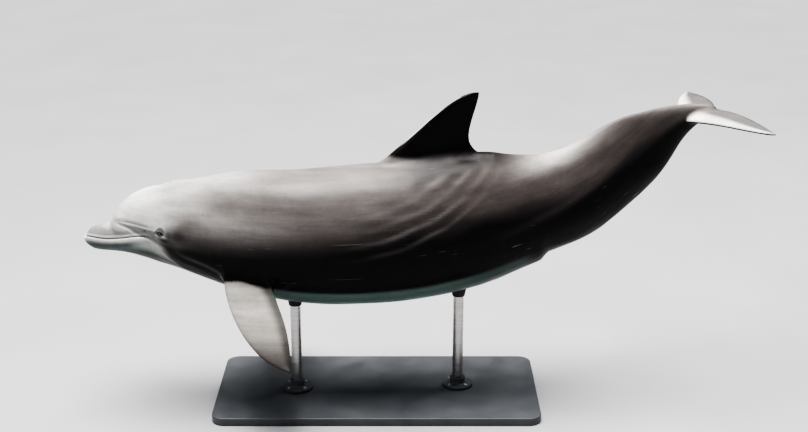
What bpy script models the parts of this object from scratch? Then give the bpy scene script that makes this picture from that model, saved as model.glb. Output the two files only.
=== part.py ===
"""A life-size bottlenose dolphin on a plain display stand, for a museum or a shop window.

The body is drawn straight, in "straight space": x runs from the tip of the lower jaw to the
tail, y to the animal's left and z to its back. One bent spine then poses every point. The
body is a loft of ovals, parted into named lengths by thin gaps. Each fin is a foil drawn in
its own plane, trimmed by a slightly swollen copy of the body, so no two solids touch.

Run with: blender --background --python part.py
"""

import math

import bmesh
import bpy
import numpy as np

NAME = "bottlenose_dolphin"
GAP = 0.0003

# The body in straight space: x, height of the back above the axis, depth of the belly below
# it, half width, and roundness (2 is an ellipse, less is keeled, more is boxy).
BODY_STATIONS = (
    (0.000, 0.030, 0.035, 0.031, 2.30),
    (0.030, 0.035, 0.045, 0.036, 2.30),
    (0.060, 0.041, 0.052, 0.044, 2.30),
    (0.106, 0.053, 0.057, 0.055, 2.20),
    (0.160, 0.068, 0.063, 0.075, 2.10),
    (0.220, 0.105, 0.077, 0.099, 2.10),
    (0.290, 0.181, 0.098, 0.124, 2.10),
    (0.400, 0.215, 0.136, 0.150, 2.10),
    (0.540, 0.243, 0.187, 0.176, 2.15),
    (0.750, 0.257, 0.241, 0.202, 2.20),
    (1.000, 0.273, 0.261, 0.215, 2.20),
    (1.250, 0.279, 0.264, 0.207, 2.15),
    (1.480, 0.266, 0.255, 0.182, 2.00),
    (1.680, 0.224, 0.225, 0.148, 1.90),
    (1.860, 0.184, 0.200, 0.110, 1.80),
    (2.050, 0.178, 0.164, 0.075, 1.70),
    (2.200, 0.159, 0.142, 0.048, 1.70),
    (2.320, 0.103, 0.101, 0.036, 1.80),
    (2.420, 0.058, 0.060, 0.032, 1.90),
    (2.500, 0.030, 0.030, 0.026, 2.00),
    (2.560, 0.009, 0.010, 0.016, 2.00),
)
BODY_END = 2.560
END_ROUNDING = 0.015
# Behind the vent the belly line steps up a little and comes back to its curve.
VENT_X = 1.705
VENT_STEP = 0.022

# The lower jaw reaches a little further than the upper one, and its tip hangs a little.
MOUTH_LINE = ((-0.03, 0.010), (0.04, 0.009), (0.100, 0.005), (0.160, 0.015), (0.220, 0.028), (0.260, 0.028))
GAPE_X = 0.262
UPPER_JAW_START = 0.011
LOWER_LIP = 0.014
UPPER_ROUNDING = 0.030
LOWER_ROUNDING = 0.045
JAW_TIP_DROP = 0.004
# The melon, the round forehead: where it is fullest, how far it reaches, its half width, and
# its height above and below the axis.
MELON_X = 0.300
MELON_REACH = 0.201
MELON_SHAPE = 1.75
MELON_HALF_WIDTH = 0.116
MELON_RISE = 0.193
MELON_FALL = 0.060
MELON_FILLET = 0.012

# Bends of the spine: from x to x, degrees of pitch (tail up), of yaw (tail to the right) and
# of roll (back to the left).
HEAD_PITCH = 2.0
BENDS = (
    (0.12, 0.50, -3.5, 0.0, 0.0),
    (0.70, 1.75, 14.6, 7.0, 0.0),
    (1.66, 2.22, 22.3, 9.0, 0.0),
    (2.26, 2.56, -31.0, 6.0, 3.4),
)
SPINE_LENGTH = 2.9
SPINE_STEPS = 2900

# Fin outlines: a leading edge and a trailing edge, each one cubic curve, in the fin's plane.
DORSAL_EDGES = (
    ((1.120, 0.270), (1.233, 0.326), (1.504, 0.532), (1.615, 0.490)),
    ((1.615, 0.490), (1.632, 0.427), (1.425, 0.358), (1.600, 0.235)),
)
DORSAL_ROOT = ((1.120, 0.200), (1.540, 0.200))
DORSAL_HALF_THICK = 0.024
FLIPPER_EDGES = (
    ((0.552, -0.020), (0.552, 0.134), (0.655, 0.323), (0.808, 0.362)),
    ((0.808, 0.362), (0.818, 0.306), (0.748, 0.060), (0.738, -0.020)),
)
FLIPPER_ROOT = ((0.560, -0.035), (0.715, -0.035))
FLIPPER_HALF_THICK = 0.017
FLIPPER_DROOP = 50.0
FLIPPER_AXIS = (0.150, -0.098)
FLUKE_EDGES = (
    ((2.390, 0.004), (2.417, 0.063), (2.543, 0.295), (2.630, 0.292)),
    ((2.630, 0.292), (2.652, 0.262), (2.560, 0.072), (2.558, 0.004)),
)
FLUKE_ROOT = ((2.410, 0.004), (2.550, 0.004))
FLUKE_HALF_THICK = 0.013
FLUKE_DROOP = 0.030
FLUKE_HALF_SPAN = 0.300
FIN_EDGE_HALF = 0.0008

EYE_X = 0.318
EYE_ANGLE = 70.0
EYE_RADIUS = 0.0150
EYE_SINK = 0.0125

# The stand: a flat plate and two rods.
RODS_X = (0.80, 1.44)
ROD_RADIUS = 0.021
FLANGE_RADIUS = 0.060
FLANGE_HEIGHT = 0.012
BASE_SIZE = (1.26, 0.56, 0.032)
BASE_CORNER = 0.050
BASE_EASE = 0.004
BASE_BELOW_AXIS = 0.640

# Where the body is parted, and how finely it is faceted.
LENGTHS = (
    ("head", 0.0, 0.42, 22),
    ("neck", 0.42, 0.55, 4),
    ("chest", 0.55, 0.92, 7),
    ("abdomen", 0.92, 1.34, 7),
    ("loin", 1.34, 1.72, 7),
    ("tail_stock_front", 1.72, 2.10, 7),
    ("tail_stock_rear", 2.10, BODY_END, 11),
)
SECTORS = 32
FIN_COLUMNS = 11
FIN_ROWS = 5

SKIN_GREY = (0.245, 0.235, 0.232)
PALE_GREY = (0.445, 0.435, 0.420)
DARK_GREY = (0.035, 0.030, 0.030)


class Curve:
    """A natural cubic spline through (x, value) pairs."""

    def __init__(self, pairs):
        self.x, self.y = np.array(pairs, float).T
        self.step = np.diff(self.x)
        count = len(self.x)
        system = np.eye(count)
        right = np.zeros(count)
        slope = np.diff(self.y) / self.step
        for i in range(1, count - 1):
            before, after = self.step[i - 1], self.step[i]
            system[i, i - 1 : i + 2] = before, 2 * (before + after), after
            right[i] = 6 * (slope[i] - slope[i - 1])
        self.bend = np.linalg.solve(system, right)

    def __call__(self, x):
        x = np.clip(x, self.x[0], self.x[-1])
        i = np.clip(np.searchsorted(self.x, x) - 1, 0, len(self.step) - 1)
        step = self.step[i]
        a = (self.x[i + 1] - x) / step
        b = 1 - a
        curved = (a**3 - a) * self.bend[i] + (b**3 - b) * self.bend[i + 1]
        return a * self.y[i] + b * self.y[i + 1] + curved * step**2 / 6


def station_curve(column):
    return Curve([(row[0], row[column]) for row in BODY_STATIONS])


BACK, BELLY, HALF_WIDTH, ROUNDNESS = (station_curve(column) for column in (1, 2, 3, 4))
MOUTH = Curve(MOUTH_LINE)


def smooth_step(t):
    t = np.clip(t, 0.0, 1.0)
    return t * t * (3 - 2 * t)


def blend_max(a, b, width):
    """The larger of two radii, with a smooth fillet of the given width where they cross."""
    share = np.clip(0.5 + 0.5 * (a - b) / width, 0.0, 1.0)
    return b + (a - b) * share + width * share * (1 - share)


def rounded_start(x, start, length):
    """0 before start, growing as a quarter circle to 1 over the length."""
    return np.sqrt(np.clip(1 - (1 - np.clip((x - start) / length, 0, 1)) ** 2, 0, 1))


def oval_radius(angle, half_width, half_height, power):
    """Distance from the axis to an oval round it, along a ray at the angle from its top."""
    across = np.abs(np.sin(angle) / half_width)
    along = np.abs(np.cos(angle) / half_height)
    return (across**power + along**power) ** (-1 / power)


def body_radius(x, angle):
    """Distance from the axis to the skin; the angle runs from 0 at the back to pi at the belly."""
    end = rounded_start(BODY_END - x, 0.0, END_ROUNDING)
    lower_tip = rounded_start(x, 0.0, LOWER_ROUNDING) * end + 1e-5
    upper_tip = rounded_start(x, UPPER_JAW_START, UPPER_ROUNDING) * end
    back = blend_max(BACK(x) * upper_tip, LOWER_LIP * lower_tip, 0.003)
    vent = smooth_step((x - VENT_X) / 0.04) - smooth_step((x - VENT_X) / 0.25)
    belly = (BELLY(x) - VENT_STEP * vent) * lower_tip
    upward = np.cos(angle) > 0
    trunk = oval_radius(angle, HALF_WIDTH(x) * lower_tip, np.where(upward, back, belly), ROUNDNESS(x))
    swell = 1 - np.clip(np.abs((x - MELON_X) / MELON_REACH), 0, 1) ** MELON_SHAPE
    swell = np.sqrt(swell) + 1e-4
    melon = oval_radius(angle, MELON_HALF_WIDTH * swell, np.where(upward, MELON_RISE, MELON_FALL) * swell, 2.1)
    return np.where(x < MELON_X + MELON_REACH, blend_max(trunk, melon, MELON_FILLET * np.minimum(swell, 1)), trunk)


def skin_point(x, angle, side, swell=0.0):
    """A point of the skin in straight space; side is 1 on the left and -1 on the right."""
    radius = body_radius(x, angle) + swell
    drop = JAW_TIP_DROP * np.exp(-((x / 0.015) ** 2))
    return np.stack([x, side * radius * np.sin(angle), radius * np.cos(angle) - drop], -1)


def ring_angles(x, count):
    """Angles from back to belly that crowd where the oval at x is sharply curved."""
    turn = np.linspace(0, math.pi, count + 1)
    height = np.where(np.cos(turn) > 0, BACK(x), BELLY(x))
    return np.arctan2(HALF_WIDTH(x) * np.sin(turn), height * np.cos(turn))


class Spine:
    """The bent axis of the body: where each x lies, and which way is left and up there."""

    def __init__(self):
        self.x = np.linspace(0, SPINE_LENGTH, SPINE_STEPS + 1)
        pitch = np.full_like(self.x, HEAD_PITCH)
        yaw = np.zeros_like(self.x)
        roll = np.zeros_like(self.x)
        for start, end, pitch_by, yaw_by, roll_by in BENDS:
            share = smooth_step((self.x - start) / (end - start))
            pitch += pitch_by * share
            yaw += yaw_by * share
            roll += roll_by * share
        pitch, yaw, roll = np.radians(pitch), np.radians(yaw), np.radians(roll)
        self.along = np.stack([np.cos(pitch) * np.cos(yaw), np.cos(pitch) * np.sin(yaw), np.sin(pitch)], -1)
        up = np.stack([-np.sin(pitch) * np.cos(yaw), -np.sin(pitch) * np.sin(yaw), np.cos(pitch)], -1)
        left = np.stack([np.sin(yaw), -np.cos(yaw), np.zeros_like(yaw)], -1)
        lean, stay = np.sin(roll)[:, None], np.cos(roll)[:, None]
        self.up = up * stay + left * lean
        self.left = left * stay - up * lean
        steps = (self.along[1:] + self.along[:-1]) / 2 * (SPINE_LENGTH / SPINE_STEPS)
        self.centre = np.concatenate([np.zeros((1, 3)), np.cumsum(steps, 0)])
        self.origin = np.zeros(3)

    def read(self, table, x):
        return np.stack([np.interp(x, self.x, table[:, k]) for k in range(3)], -1)

    def pose(self, points):
        """World places of points given in straight space."""
        x, left, up = points[..., 0], points[..., 1:2], points[..., 2:3]
        before = np.minimum(x, 0)[..., None] * self.read(self.along, x)
        centre = self.read(self.centre, x) + before - self.origin
        return centre + self.read(self.left, x) * left + self.read(self.up, x) * up


SPINE = Spine()


def clear_scene():
    for obj in list(bpy.data.objects):
        bpy.data.objects.remove(obj, do_unlink=True)


def new_collection(name):
    collection = bpy.data.collections.new(name)
    bpy.context.scene.collection.children.link(collection)
    return collection


def make_object(collection, name, mesh_builder):
    """A new object from a bmesh, with outward faces."""
    bmesh.ops.recalc_face_normals(mesh_builder, faces=mesh_builder.faces)
    mesh = bpy.data.meshes.new(name)
    mesh_builder.to_mesh(mesh)
    mesh_builder.free()
    obj = bpy.data.objects.new(name, mesh)
    collection.objects.link(obj)
    return obj


def give_material(obj, colour, roughness, metallic=0.0):
    material = bpy.data.materials.new(obj.name)
    material.use_nodes = True
    shader = material.node_tree.nodes["Principled BSDF"]
    shader.inputs["Base Color"].default_value = (*colour, 1.0)
    shader.inputs["Roughness"].default_value = roughness
    shader.inputs["Metallic"].default_value = metallic
    obj.data.materials.clear()
    obj.data.materials.append(material)


def loft(rings):
    """A closed solid through rings of equal count; a ring of one point is a tip."""
    builder = bmesh.new()
    rows = [[builder.verts.new(point) for point in ring] for ring in rings]
    for first, second in zip(rows, rows[1:]):
        count = max(len(first), len(second))
        for i in range(count):
            j = (i + 1) % count
            corners = [first[i % len(first)], first[j % len(first)], second[j % len(second)], second[i % len(second)]]
            builder.faces.new(list(dict.fromkeys(corners)))
    for row in (rows[0], rows[-1]):
        if len(row) > 1:
            builder.faces.new(row)
    bmesh.ops.triangulate(builder, faces=builder.faces, quad_method="SHORT_EDGE")
    return builder


def body_rings(start, end, count, swell=0.0):
    """Rings of the posed body from start to end, closer together towards a pointed end."""
    share = np.linspace(0, 1, count + 1)
    if start <= 0:
        share = share**1.5
    if end >= BODY_END:
        share = 1 - (1 - share) ** 1.3
    rings = []
    for x in start + (end - start) * share:
        angles = ring_angles(x, SECTORS // 2)
        left, right = (skin_point(np.full_like(angles, x), angles, side, swell) for side in (1, -1))
        ring = SPINE.pose(np.concatenate([left, right[-2:0:-1]]))
        at_tip = x <= 0 or x >= BODY_END
        rings.append(ring.mean(0, keepdims=True) if at_tip and not swell else ring)
    return rings


def body_length(collection, name, start, end, count):
    """One length of the body, half a gap short at each end that meets a neighbour."""
    first = start + GAP / 2 if start > 0 else start
    last = end - GAP / 2 if end < BODY_END else end
    return make_object(collection, name, loft(body_rings(first, last, count)))


def swollen_body(collection):
    """The whole body, larger by one gap, which trims the roots of fins and the tops of rods."""
    rings = []
    for index, (_, start, end, count) in enumerate(LENGTHS):
        rings += body_rings(start, end, count, GAP)[index > 0 :]
    return make_object(collection, "cutter_swollen_body", loft(rings))


def cut(obj, cutter):
    """Cuts one object from another at once, so that the result can be split or measured."""
    modifier = obj.modifiers.new("cut", "BOOLEAN")
    modifier.operation = "DIFFERENCE"
    modifier.solver = "EXACT"
    modifier.object = cutter
    graph = bpy.context.evaluated_depsgraph_get()
    mesh = bpy.data.meshes.new_from_object(obj.evaluated_get(graph))
    obj.modifiers.clear()
    obj.data = mesh


def islands(builder):
    """The groups of connected vertices."""
    left = set(builder.verts)
    groups = []
    while left:
        group = set()
        queue = [left.pop()]
        while queue:
            vert = queue.pop()
            group.add(vert)
            for edge in vert.link_edges:
                other = edge.other_vert(vert)
                if other in left:
                    left.remove(other)
                    queue.append(other)
        groups.append(group)
    return groups


def keep_island(obj, wanted):
    """Keeps the connected piece for which wanted(its mean point) is largest."""
    builder = bmesh.new()
    builder.from_mesh(obj.data)
    groups = islands(builder)
    groups.sort(key=lambda group: wanted(np.mean([vert.co for vert in group], 0)))
    for group in groups[:-1]:
        bmesh.ops.delete(builder, geom=list(group), context="VERTS")
    builder.to_mesh(obj.data)
    builder.free()


def ribbon_cutter(collection, name, route):
    """A slab one gap thick that follows a route of (x, z) across the whole width of the head."""
    route = np.array(route, float)
    direction = np.gradient(route, axis=0)
    normal = np.stack([-direction[:, 1], direction[:, 0]], -1)
    normal /= np.linalg.norm(normal, axis=1, keepdims=True)
    outline = np.concatenate([route + normal * GAP / 2, (route - normal * GAP / 2)[::-1]])
    sides = []
    for across in (-0.2, 0.2):
        points = np.stack([outline[:, 0], np.full(len(outline), across), outline[:, 1]], -1)
        sides.append(SPINE.pose(points))
    return make_object(collection, name, loft(sides))


def head_pieces(parts, cutters):
    """The head, parted into upper jaw, lower jaw and the rest, with a socket for each eye."""
    name, start, end, count = LENGTHS[0]
    head = body_length(parts, name, start, end, count)
    along_mouth = [(x, float(MOUTH(x))) for x in np.linspace(-0.03, GAPE_X, 20)]
    down_cheek = [(GAPE_X + 0.004 + 0.03 * t, float(MOUTH(GAPE_X)) - 0.004 - 0.2 * t) for t in np.linspace(0, 1, 5)]
    mouth_cut = ribbon_cutter(cutters, "cutter_mouth", along_mouth + down_cheek)
    foot = 0.200
    beak_cut = ribbon_cutter(
        cutters, "cutter_beak", [(foot - 0.100 * t, float(MOUTH(foot)) + 0.042 * t) for t in np.linspace(0, 2, 5)]
    )
    cut(head, mouth_cut)
    lower_jaw = head.copy()
    lower_jaw.data = head.data.copy()
    lower_jaw.name = "lower_jaw"
    parts.objects.link(lower_jaw)
    keep_island(lower_jaw, lambda centre: -centre[2])
    keep_island(head, lambda centre: centre[2])
    cut(head, beak_cut)
    upper_jaw = head.copy()
    upper_jaw.data = head.data.copy()
    upper_jaw.name = "upper_jaw"
    parts.objects.link(upper_jaw)
    keep_island(upper_jaw, lambda centre: -centre[0])
    keep_island(head, lambda centre: centre[0])
    return head, upper_jaw, lower_jaw


def eye_centre(side):
    angle = np.radians(EYE_ANGLE)
    return SPINE.pose(skin_point(np.array(EYE_X), angle, side, -EYE_SINK))


def ball(collection, name, centre, radius, segments, rings):
    builder = bmesh.new()
    bmesh.ops.create_uvsphere(builder, u_segments=segments, v_segments=rings, radius=radius)
    obj = make_object(collection, name, builder)
    obj.location = centre
    return obj


def add_eyes(parts, cutters, head):
    for name, side in (("eye_left", 1), ("eye_right", -1)):
        centre = eye_centre(side)
        socket = ball(cutters, f"cutter_{name}", centre, EYE_RADIUS + 2 * GAP, 16, 10)
        bpy.context.view_layer.update()
        cut(head, socket)
        eye = ball(parts, name, centre, EYE_RADIUS, 16, 10)
        give_material(eye, (0.01, 0.008, 0.007), 0.08)


def bezier(points, t):
    points = np.array(points, float)
    t = t[:, None]
    return (1 - t) ** 3 * points[0] + 3 * t * (1 - t) ** 2 * points[1] + 3 * t**2 * (1 - t) * points[2] + t**3 * points[3]


def fin_sheets(edges, root, half_thick):
    """A foil in its own plane: a grid of (along, out) points and the half thickness at each."""
    t = 0.5 - 0.5 * np.cos(np.linspace(0, math.pi, FIN_COLUMNS))
    leading, trailing = (bezier(edge, t) for edge in edges)
    outline = np.concatenate([leading, trailing[1:]])
    share = np.linspace(0, 1, len(outline))[:, None]
    foot = np.array(root[0]) * (1 - share) + np.array(root[1]) * share
    row = np.sin(np.linspace(0, math.pi / 2, FIN_ROWS))[None, :, None]
    sheet = foot[:, None] * (1 - row) + outline[:, None] * row
    out = np.clip(sheet[..., 1], min(leading[0, 1], trailing[-1, 1]), outline[:, 1].max() - 1e-4)
    front = np.interp(out, np.maximum.accumulate(leading[:, 1]), leading[:, 0])
    back = np.interp(out, np.maximum.accumulate(trailing[::-1, 1]), trailing[::-1, 0])
    chord = np.clip((sheet[..., 0] - front) / np.maximum(back - front, 1e-4), 0, 1)
    foil = 2.6 * np.sqrt(chord) * (1 - chord) * (1 - 0.35 * chord) / 0.87
    reach = (out - out.min()) / (out.max() - out.min())
    return sheet, foil * half_thick * (1 - 0.75 * reach) + FIN_EDGE_HALF


def fin(collection, name, faces):
    """A closed solid from a fin's two faces, each a grid whose last row is the outline."""
    near, far = (SPINE.pose(face) for face in faces)
    sections = []
    for near_row, far_row in zip(near, far):
        sections.append(np.concatenate([near_row, far_row[::-1]]))
    return make_object(collection, name, loft(sections))


def dorsal_faces():
    sheet, thick = fin_sheets(DORSAL_EDGES, DORSAL_ROOT, DORSAL_HALF_THICK)
    return [np.stack([sheet[..., 0], side * thick, sheet[..., 1]], -1) for side in (1, -1)]


def flipper_faces(side):
    sheet, thick = fin_sheets(FLIPPER_EDGES, FLIPPER_ROOT, FLIPPER_HALF_THICK)
    droop = math.radians(FLIPPER_DROOP)
    out = np.array([math.cos(droop), -math.sin(droop)])
    over = np.array([math.sin(droop), math.cos(droop)])
    faces = []
    for face in (1, -1):
        place = np.array(FLIPPER_AXIS) + sheet[..., 1:2] * out + face * thick[..., None] * over
        faces.append(np.stack([sheet[..., 0], side * place[..., 0], place[..., 1]], -1))
    return faces


def fluke_faces(side):
    sheet, thick = fin_sheets(FLUKE_EDGES, FLUKE_ROOT, FLUKE_HALF_THICK)
    droop = FLUKE_DROOP * (sheet[..., 1] / FLUKE_HALF_SPAN) ** 2
    return [np.stack([sheet[..., 0], side * sheet[..., 1], face * thick - droop], -1) for face in (1, -1)]


def add_fins(parts, swollen):
    kinds = (
        ("dorsal_fin", dorsal_faces(), DARK_GREY),
        ("flipper_left", flipper_faces(1), PALE_GREY),
        ("flipper_right", flipper_faces(-1), PALE_GREY),
        ("fluke_left", fluke_faces(1), SKIN_GREY),
        ("fluke_right", fluke_faces(-1), SKIN_GREY),
    )
    for name, faces, colour in kinds:
        obj = fin(parts, name, faces)
        cut(obj, swollen)
        keep_island(obj, lambda centre: float(np.linalg.norm(centre - SPINE.pose(np.array([1.2, 0.0, 0.0])))))
        give_material(obj, colour, 0.35)


def centre_on_origin():
    """Moves the spine so that the whole object's box is centred over the origin, base at z = 0."""
    clouds = [np.concatenate(body_rings(start, end, count)) for _, start, end, count in LENGTHS]
    for faces in (dorsal_faces(), flipper_faces(1), flipper_faces(-1), fluke_faces(1), fluke_faces(-1)):
        clouds += [SPINE.pose(face).reshape(-1, 3) for face in faces]
    points = np.concatenate(clouds)
    middle = (points.min(0) + points.max(0)) / 2
    SPINE.origin = np.array([middle[0], middle[1], -BASE_BELOW_AXIS - BASE_SIZE[2]])


def add_stand(parts, swollen):
    length, width, thick = BASE_SIZE
    feet = [SPINE.pose(np.array([x, 0.0, 0.0])) for x in RODS_X]
    middle = (feet[0] + feet[1]) / 2
    builder = bmesh.new()
    bmesh.ops.create_cube(builder, size=1.0)
    bmesh.ops.scale(builder, vec=(length, width, thick), verts=builder.verts)
    upright = [edge for edge in builder.edges if abs(edge.verts[0].co.z - edge.verts[1].co.z) > thick / 2]
    bmesh.ops.bevel(builder, geom=upright, offset=BASE_CORNER, segments=6, profile=0.5, affect="EDGES")
    top = [edge for edge in builder.edges if all(vert.co.z > 0 for vert in edge.verts)]
    bmesh.ops.bevel(builder, geom=top, offset=BASE_EASE, segments=2, profile=0.5, affect="EDGES")
    base = make_object(parts, "stand_base", builder)
    base.location = (middle[0], middle[1], thick / 2)
    give_material(base, (0.035, 0.036, 0.038), 0.5)
    for end, foot in zip(("front", "rear"), feet):
        flange_foot = thick + GAP
        rod_foot = flange_foot + FLANGE_HEIGHT + GAP
        flange = turned(parts, f"stand_flange_{end}", FLANGE_RADIUS, FLANGE_HEIGHT, foot, flange_foot)
        give_material(flange, (0.035, 0.036, 0.038), 0.45)
        rod = turned(parts, f"stand_rod_{end}", ROD_RADIUS, foot[2] - rod_foot, foot, rod_foot)
        bpy.context.view_layer.update()
        cut(rod, swollen)
        keep_island(rod, lambda centre: -centre[2])
        give_material(rod, (0.60, 0.60, 0.60), 0.3, 1.0)


def turned(collection, name, radius, height, foot, z):
    """An upright cylinder with its mesh in world places, standing at height z."""
    builder = bmesh.new()
    bmesh.ops.create_cone(
        builder, cap_ends=True, cap_tris=False, segments=32, radius1=radius, radius2=radius, depth=height
    )
    bmesh.ops.translate(builder, vec=(foot[0], foot[1], z + height / 2), verts=builder.verts)
    return make_object(collection, name, builder)


def main():
    clear_scene()
    parts = new_collection(NAME)
    cutters = new_collection("cutters")
    centre_on_origin()
    swollen = swollen_body(cutters)
    head, upper_jaw, lower_jaw = head_pieces(parts, cutters)
    for piece in (head, upper_jaw, lower_jaw):
        give_material(piece, PALE_GREY, 0.35)
    add_eyes(parts, cutters, head)
    for name, start, end, count in LENGTHS[1:]:
        give_material(body_length(parts, name, start, end, count), SKIN_GREY, 0.35)
    add_fins(parts, swollen)
    add_stand(parts, swollen)
    for cutter in cutters.objects:
        cutter.hide_render = True
        cutter.display_type = "WIRE"
    cutters.hide_render = True


main()
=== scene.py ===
"""The looks of a life-size bottlenose dolphin on a plain display stand.

The body is drawn straight, in "straight space": x runs from the tip of the lower jaw to the
tail, y to the animal's left and z to its back, all in metres. One bent spine then poses every
point into the frame. The hide is a single closed grid: its columns follow one another along
the body, and its rows run from the middle of the back to the middle of the belly on each
side. Where a fin stands, the rows climb one face of it, turn round its edge and come down
the other, so the fins grow out of the body with no seam.
"""

import logging
import math
from dataclasses import dataclass, field
from enum import Enum
from typing import Any, Callable, Sequence

import bpy
import numpy as np
from bpy.types import Material, Mesh, Node, NodeSocket, NodeTree, Object
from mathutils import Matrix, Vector
from numpy.typing import NDArray


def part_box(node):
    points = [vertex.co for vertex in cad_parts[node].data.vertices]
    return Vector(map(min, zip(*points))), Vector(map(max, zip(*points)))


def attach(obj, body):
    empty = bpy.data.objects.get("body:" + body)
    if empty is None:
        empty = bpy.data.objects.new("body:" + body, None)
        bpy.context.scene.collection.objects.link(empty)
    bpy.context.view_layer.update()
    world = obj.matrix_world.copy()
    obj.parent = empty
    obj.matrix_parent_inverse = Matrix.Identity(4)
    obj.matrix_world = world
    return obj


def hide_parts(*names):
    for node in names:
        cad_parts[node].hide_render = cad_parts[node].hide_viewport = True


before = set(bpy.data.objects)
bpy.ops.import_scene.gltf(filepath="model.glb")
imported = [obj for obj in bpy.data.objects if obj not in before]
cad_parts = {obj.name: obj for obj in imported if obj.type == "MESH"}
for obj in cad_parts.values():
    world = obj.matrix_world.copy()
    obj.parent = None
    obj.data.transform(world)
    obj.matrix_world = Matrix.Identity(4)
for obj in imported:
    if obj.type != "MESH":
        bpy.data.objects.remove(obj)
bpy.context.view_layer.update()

LOG = logging.getLogger("dolphin")
MM = 0.001
Floats = NDArray[np.float64]
Pair = tuple[float, float]
Place = tuple[float, float, float]
Surface = Callable[[Floats, Floats], Floats]
RGBA_MIX = {"output": "Result_Color", "data_type": "RGBA"}


# --- curves and small formulas ---


def smooth_step(t: Floats) -> Floats:
    """0 before t = 0, 1 after t = 1, and an S-shaped cubic between."""
    t = np.clip(t, 0.0, 1.0)
    return t * t * (3 - 2 * t)


def rise(x: Floats, start: float, length: float) -> Floats:
    """An S-shaped climb from 0 at the start to 1 one length further on."""
    return smooth_step((x - start) / length)


def fall(x: Floats, start: float, length: float) -> Floats:
    """An S-shaped descent from 1 at the start to 0 one length further on."""
    return 1 - rise(x, start, length)


def blend(first: Floats, second: Floats, share: Floats) -> Floats:
    """The first where the share is 0, the second where it is 1, and a mean between."""
    return second * share + first * (1 - share)


def hump(d: Floats, width: float) -> Floats:
    """A round hump of height 1 at d = 0 that has faded away two widths off."""
    return np.exp(-((d / width) ** 2))


def blend_max(a: Floats, b: Floats, width: float) -> Floats:
    """The larger of two radii, with a smooth fillet of the given width where they cross."""
    share = np.clip(0.5 + 0.5 * (a - b) / width, 0.0, 1.0)
    return b + (a - b) * share + width * share * (1 - share)


def rounded_start(x: Floats, start: float, length: float) -> Floats:
    """0 before start, growing as a quarter circle to 1 over the length."""
    return np.sqrt(np.clip(1 - (1 - np.clip((x - start) / length, 0, 1)) ** 2, 0, 1))


def oval_radius(angle: Floats, half_width: Floats, half_height: Floats, power: Floats) -> Floats:
    """Distance from the axis to an oval round it, along a ray at the angle from its top."""
    across, along = np.abs(np.sin(angle) / half_width), np.abs(np.cos(angle) / half_height)
    return (across**power + along**power) ** (-1 / power)


def bezier(points: Sequence[Pair], t: Floats) -> Floats:
    """Points of one cubic Bezier curve: the four control points weighted by Bernstein's cubics."""
    p, t = np.array(points, float), np.asarray(t, float)[..., None]
    return (1 - t) ** 3 * p[0] + 3 * t * (1 - t) ** 2 * p[1] + 3 * t**2 * (1 - t) * p[2] + t**3 * p[3]


class Curve:
    """A natural cubic spline through (x, value) pairs."""

    def __init__(self, pairs: Sequence[Pair]) -> None:
        """Solves for the spline's bending at each pair, with none at the two ends.

        Args:
            pairs: the (x, value) pairs, with x rising.
        """
        self.x, self.y = np.array(pairs, float).T
        self.step = np.diff(self.x)
        count = len(self.x)
        system = np.eye(count)
        right = np.zeros(count)
        slope = np.diff(self.y) / self.step
        for i in range(1, count - 1):
            before, after = self.step[i - 1], self.step[i]
            system[i, i - 1 : i + 2] = before, 2 * (before + after), after
            right[i] = 6 * (slope[i] - slope[i - 1])
        self.bend = np.linalg.solve(system, right)

    def __call__(self, x: Floats) -> Floats:
        """The spline's value at x, which is held at its ends outside them.

        Args:
            x: one or many places.

        Returns:
            The value at each place.
        """
        x = np.clip(x, self.x[0], self.x[-1])
        i = np.clip(np.searchsorted(self.x, x) - 1, 0, len(self.step) - 1)
        step = self.step[i]
        a = (self.x[i + 1] - x) / step
        b = 1 - a
        curved = (a**3 - a) * self.bend[i] + (b**3 - b) * self.bend[i + 1]
        return a * self.y[i] + b * self.y[i + 1] + curved * step**2 / 6


def route_points(corners: Sequence[Pair], count: int) -> Floats:
    """Points spaced evenly by share along a smooth curve through the corners.

    Args:
        corners: the (u, v) corners, in order.
        count: how many points to give.

    Returns:
        The points, from the first corner to the last.
    """
    given = np.array(corners, float)
    travelled = np.concatenate([[0.0], np.cumsum(np.linalg.norm(np.diff(given, axis=0), axis=1))])
    share = travelled / travelled[-1]
    wanted = np.linspace(0, 1, count)
    return np.stack([Curve(list(zip(share, given[:, k])))(wanted) for k in range(2)], -1)


def route_distance(points: Floats, route: Floats) -> tuple[Floats, Floats]:
    """How far points lie from a route, as the least distance to its straight pieces.

    Args:
        points: an array of (u, v) points.
        route: the route's own (u, v) points, in order.

    Returns:
        The distance of each point, and the share of the route's length at the nearest place.
    """
    nearest = np.full(points.shape[:-1], np.inf)
    where = np.zeros(points.shape[:-1])
    pieces = len(route) - 1
    for number, (first, second) in enumerate(zip(route, route[1:])):
        along = second - first
        t = np.clip(((points - first) @ along) / (along @ along), 0, 1)
        gap = np.linalg.norm(points - first - t[..., None] * along, axis=-1)
        closer = gap < nearest
        nearest = np.where(closer, gap, nearest)
        where = np.where(closer, (number + t) / pieces, where)
    return nearest, where


def travelled_along(lines: Floats) -> Floats:
    """The length travelled from the first point to each point of every line of points."""
    steps = np.linalg.norm(np.diff(lines, axis=1), axis=-1)
    return np.concatenate([np.zeros((len(lines), 1)), np.cumsum(steps, 1)], 1)


def last_crossing(row: Floats, height: Floats) -> Floats:
    """The row at which each line of heights last rises through zero, between two samples.

    Args:
        row: the rows' numbers.
        height: one line of heights for each column.

    Returns:
        One row, with its fraction, for each line.
    """
    below = np.clip((height < 0).cumsum(1).argmax(1), 0, len(row) - 2)
    line = np.arange(len(height))
    first, second = height[line, below], height[line, below + 1]
    share = np.clip(-first / np.maximum(second - first, 1e-9), 0, 1)
    return row[below] + share * (row[below + 1] - row[below])


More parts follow.
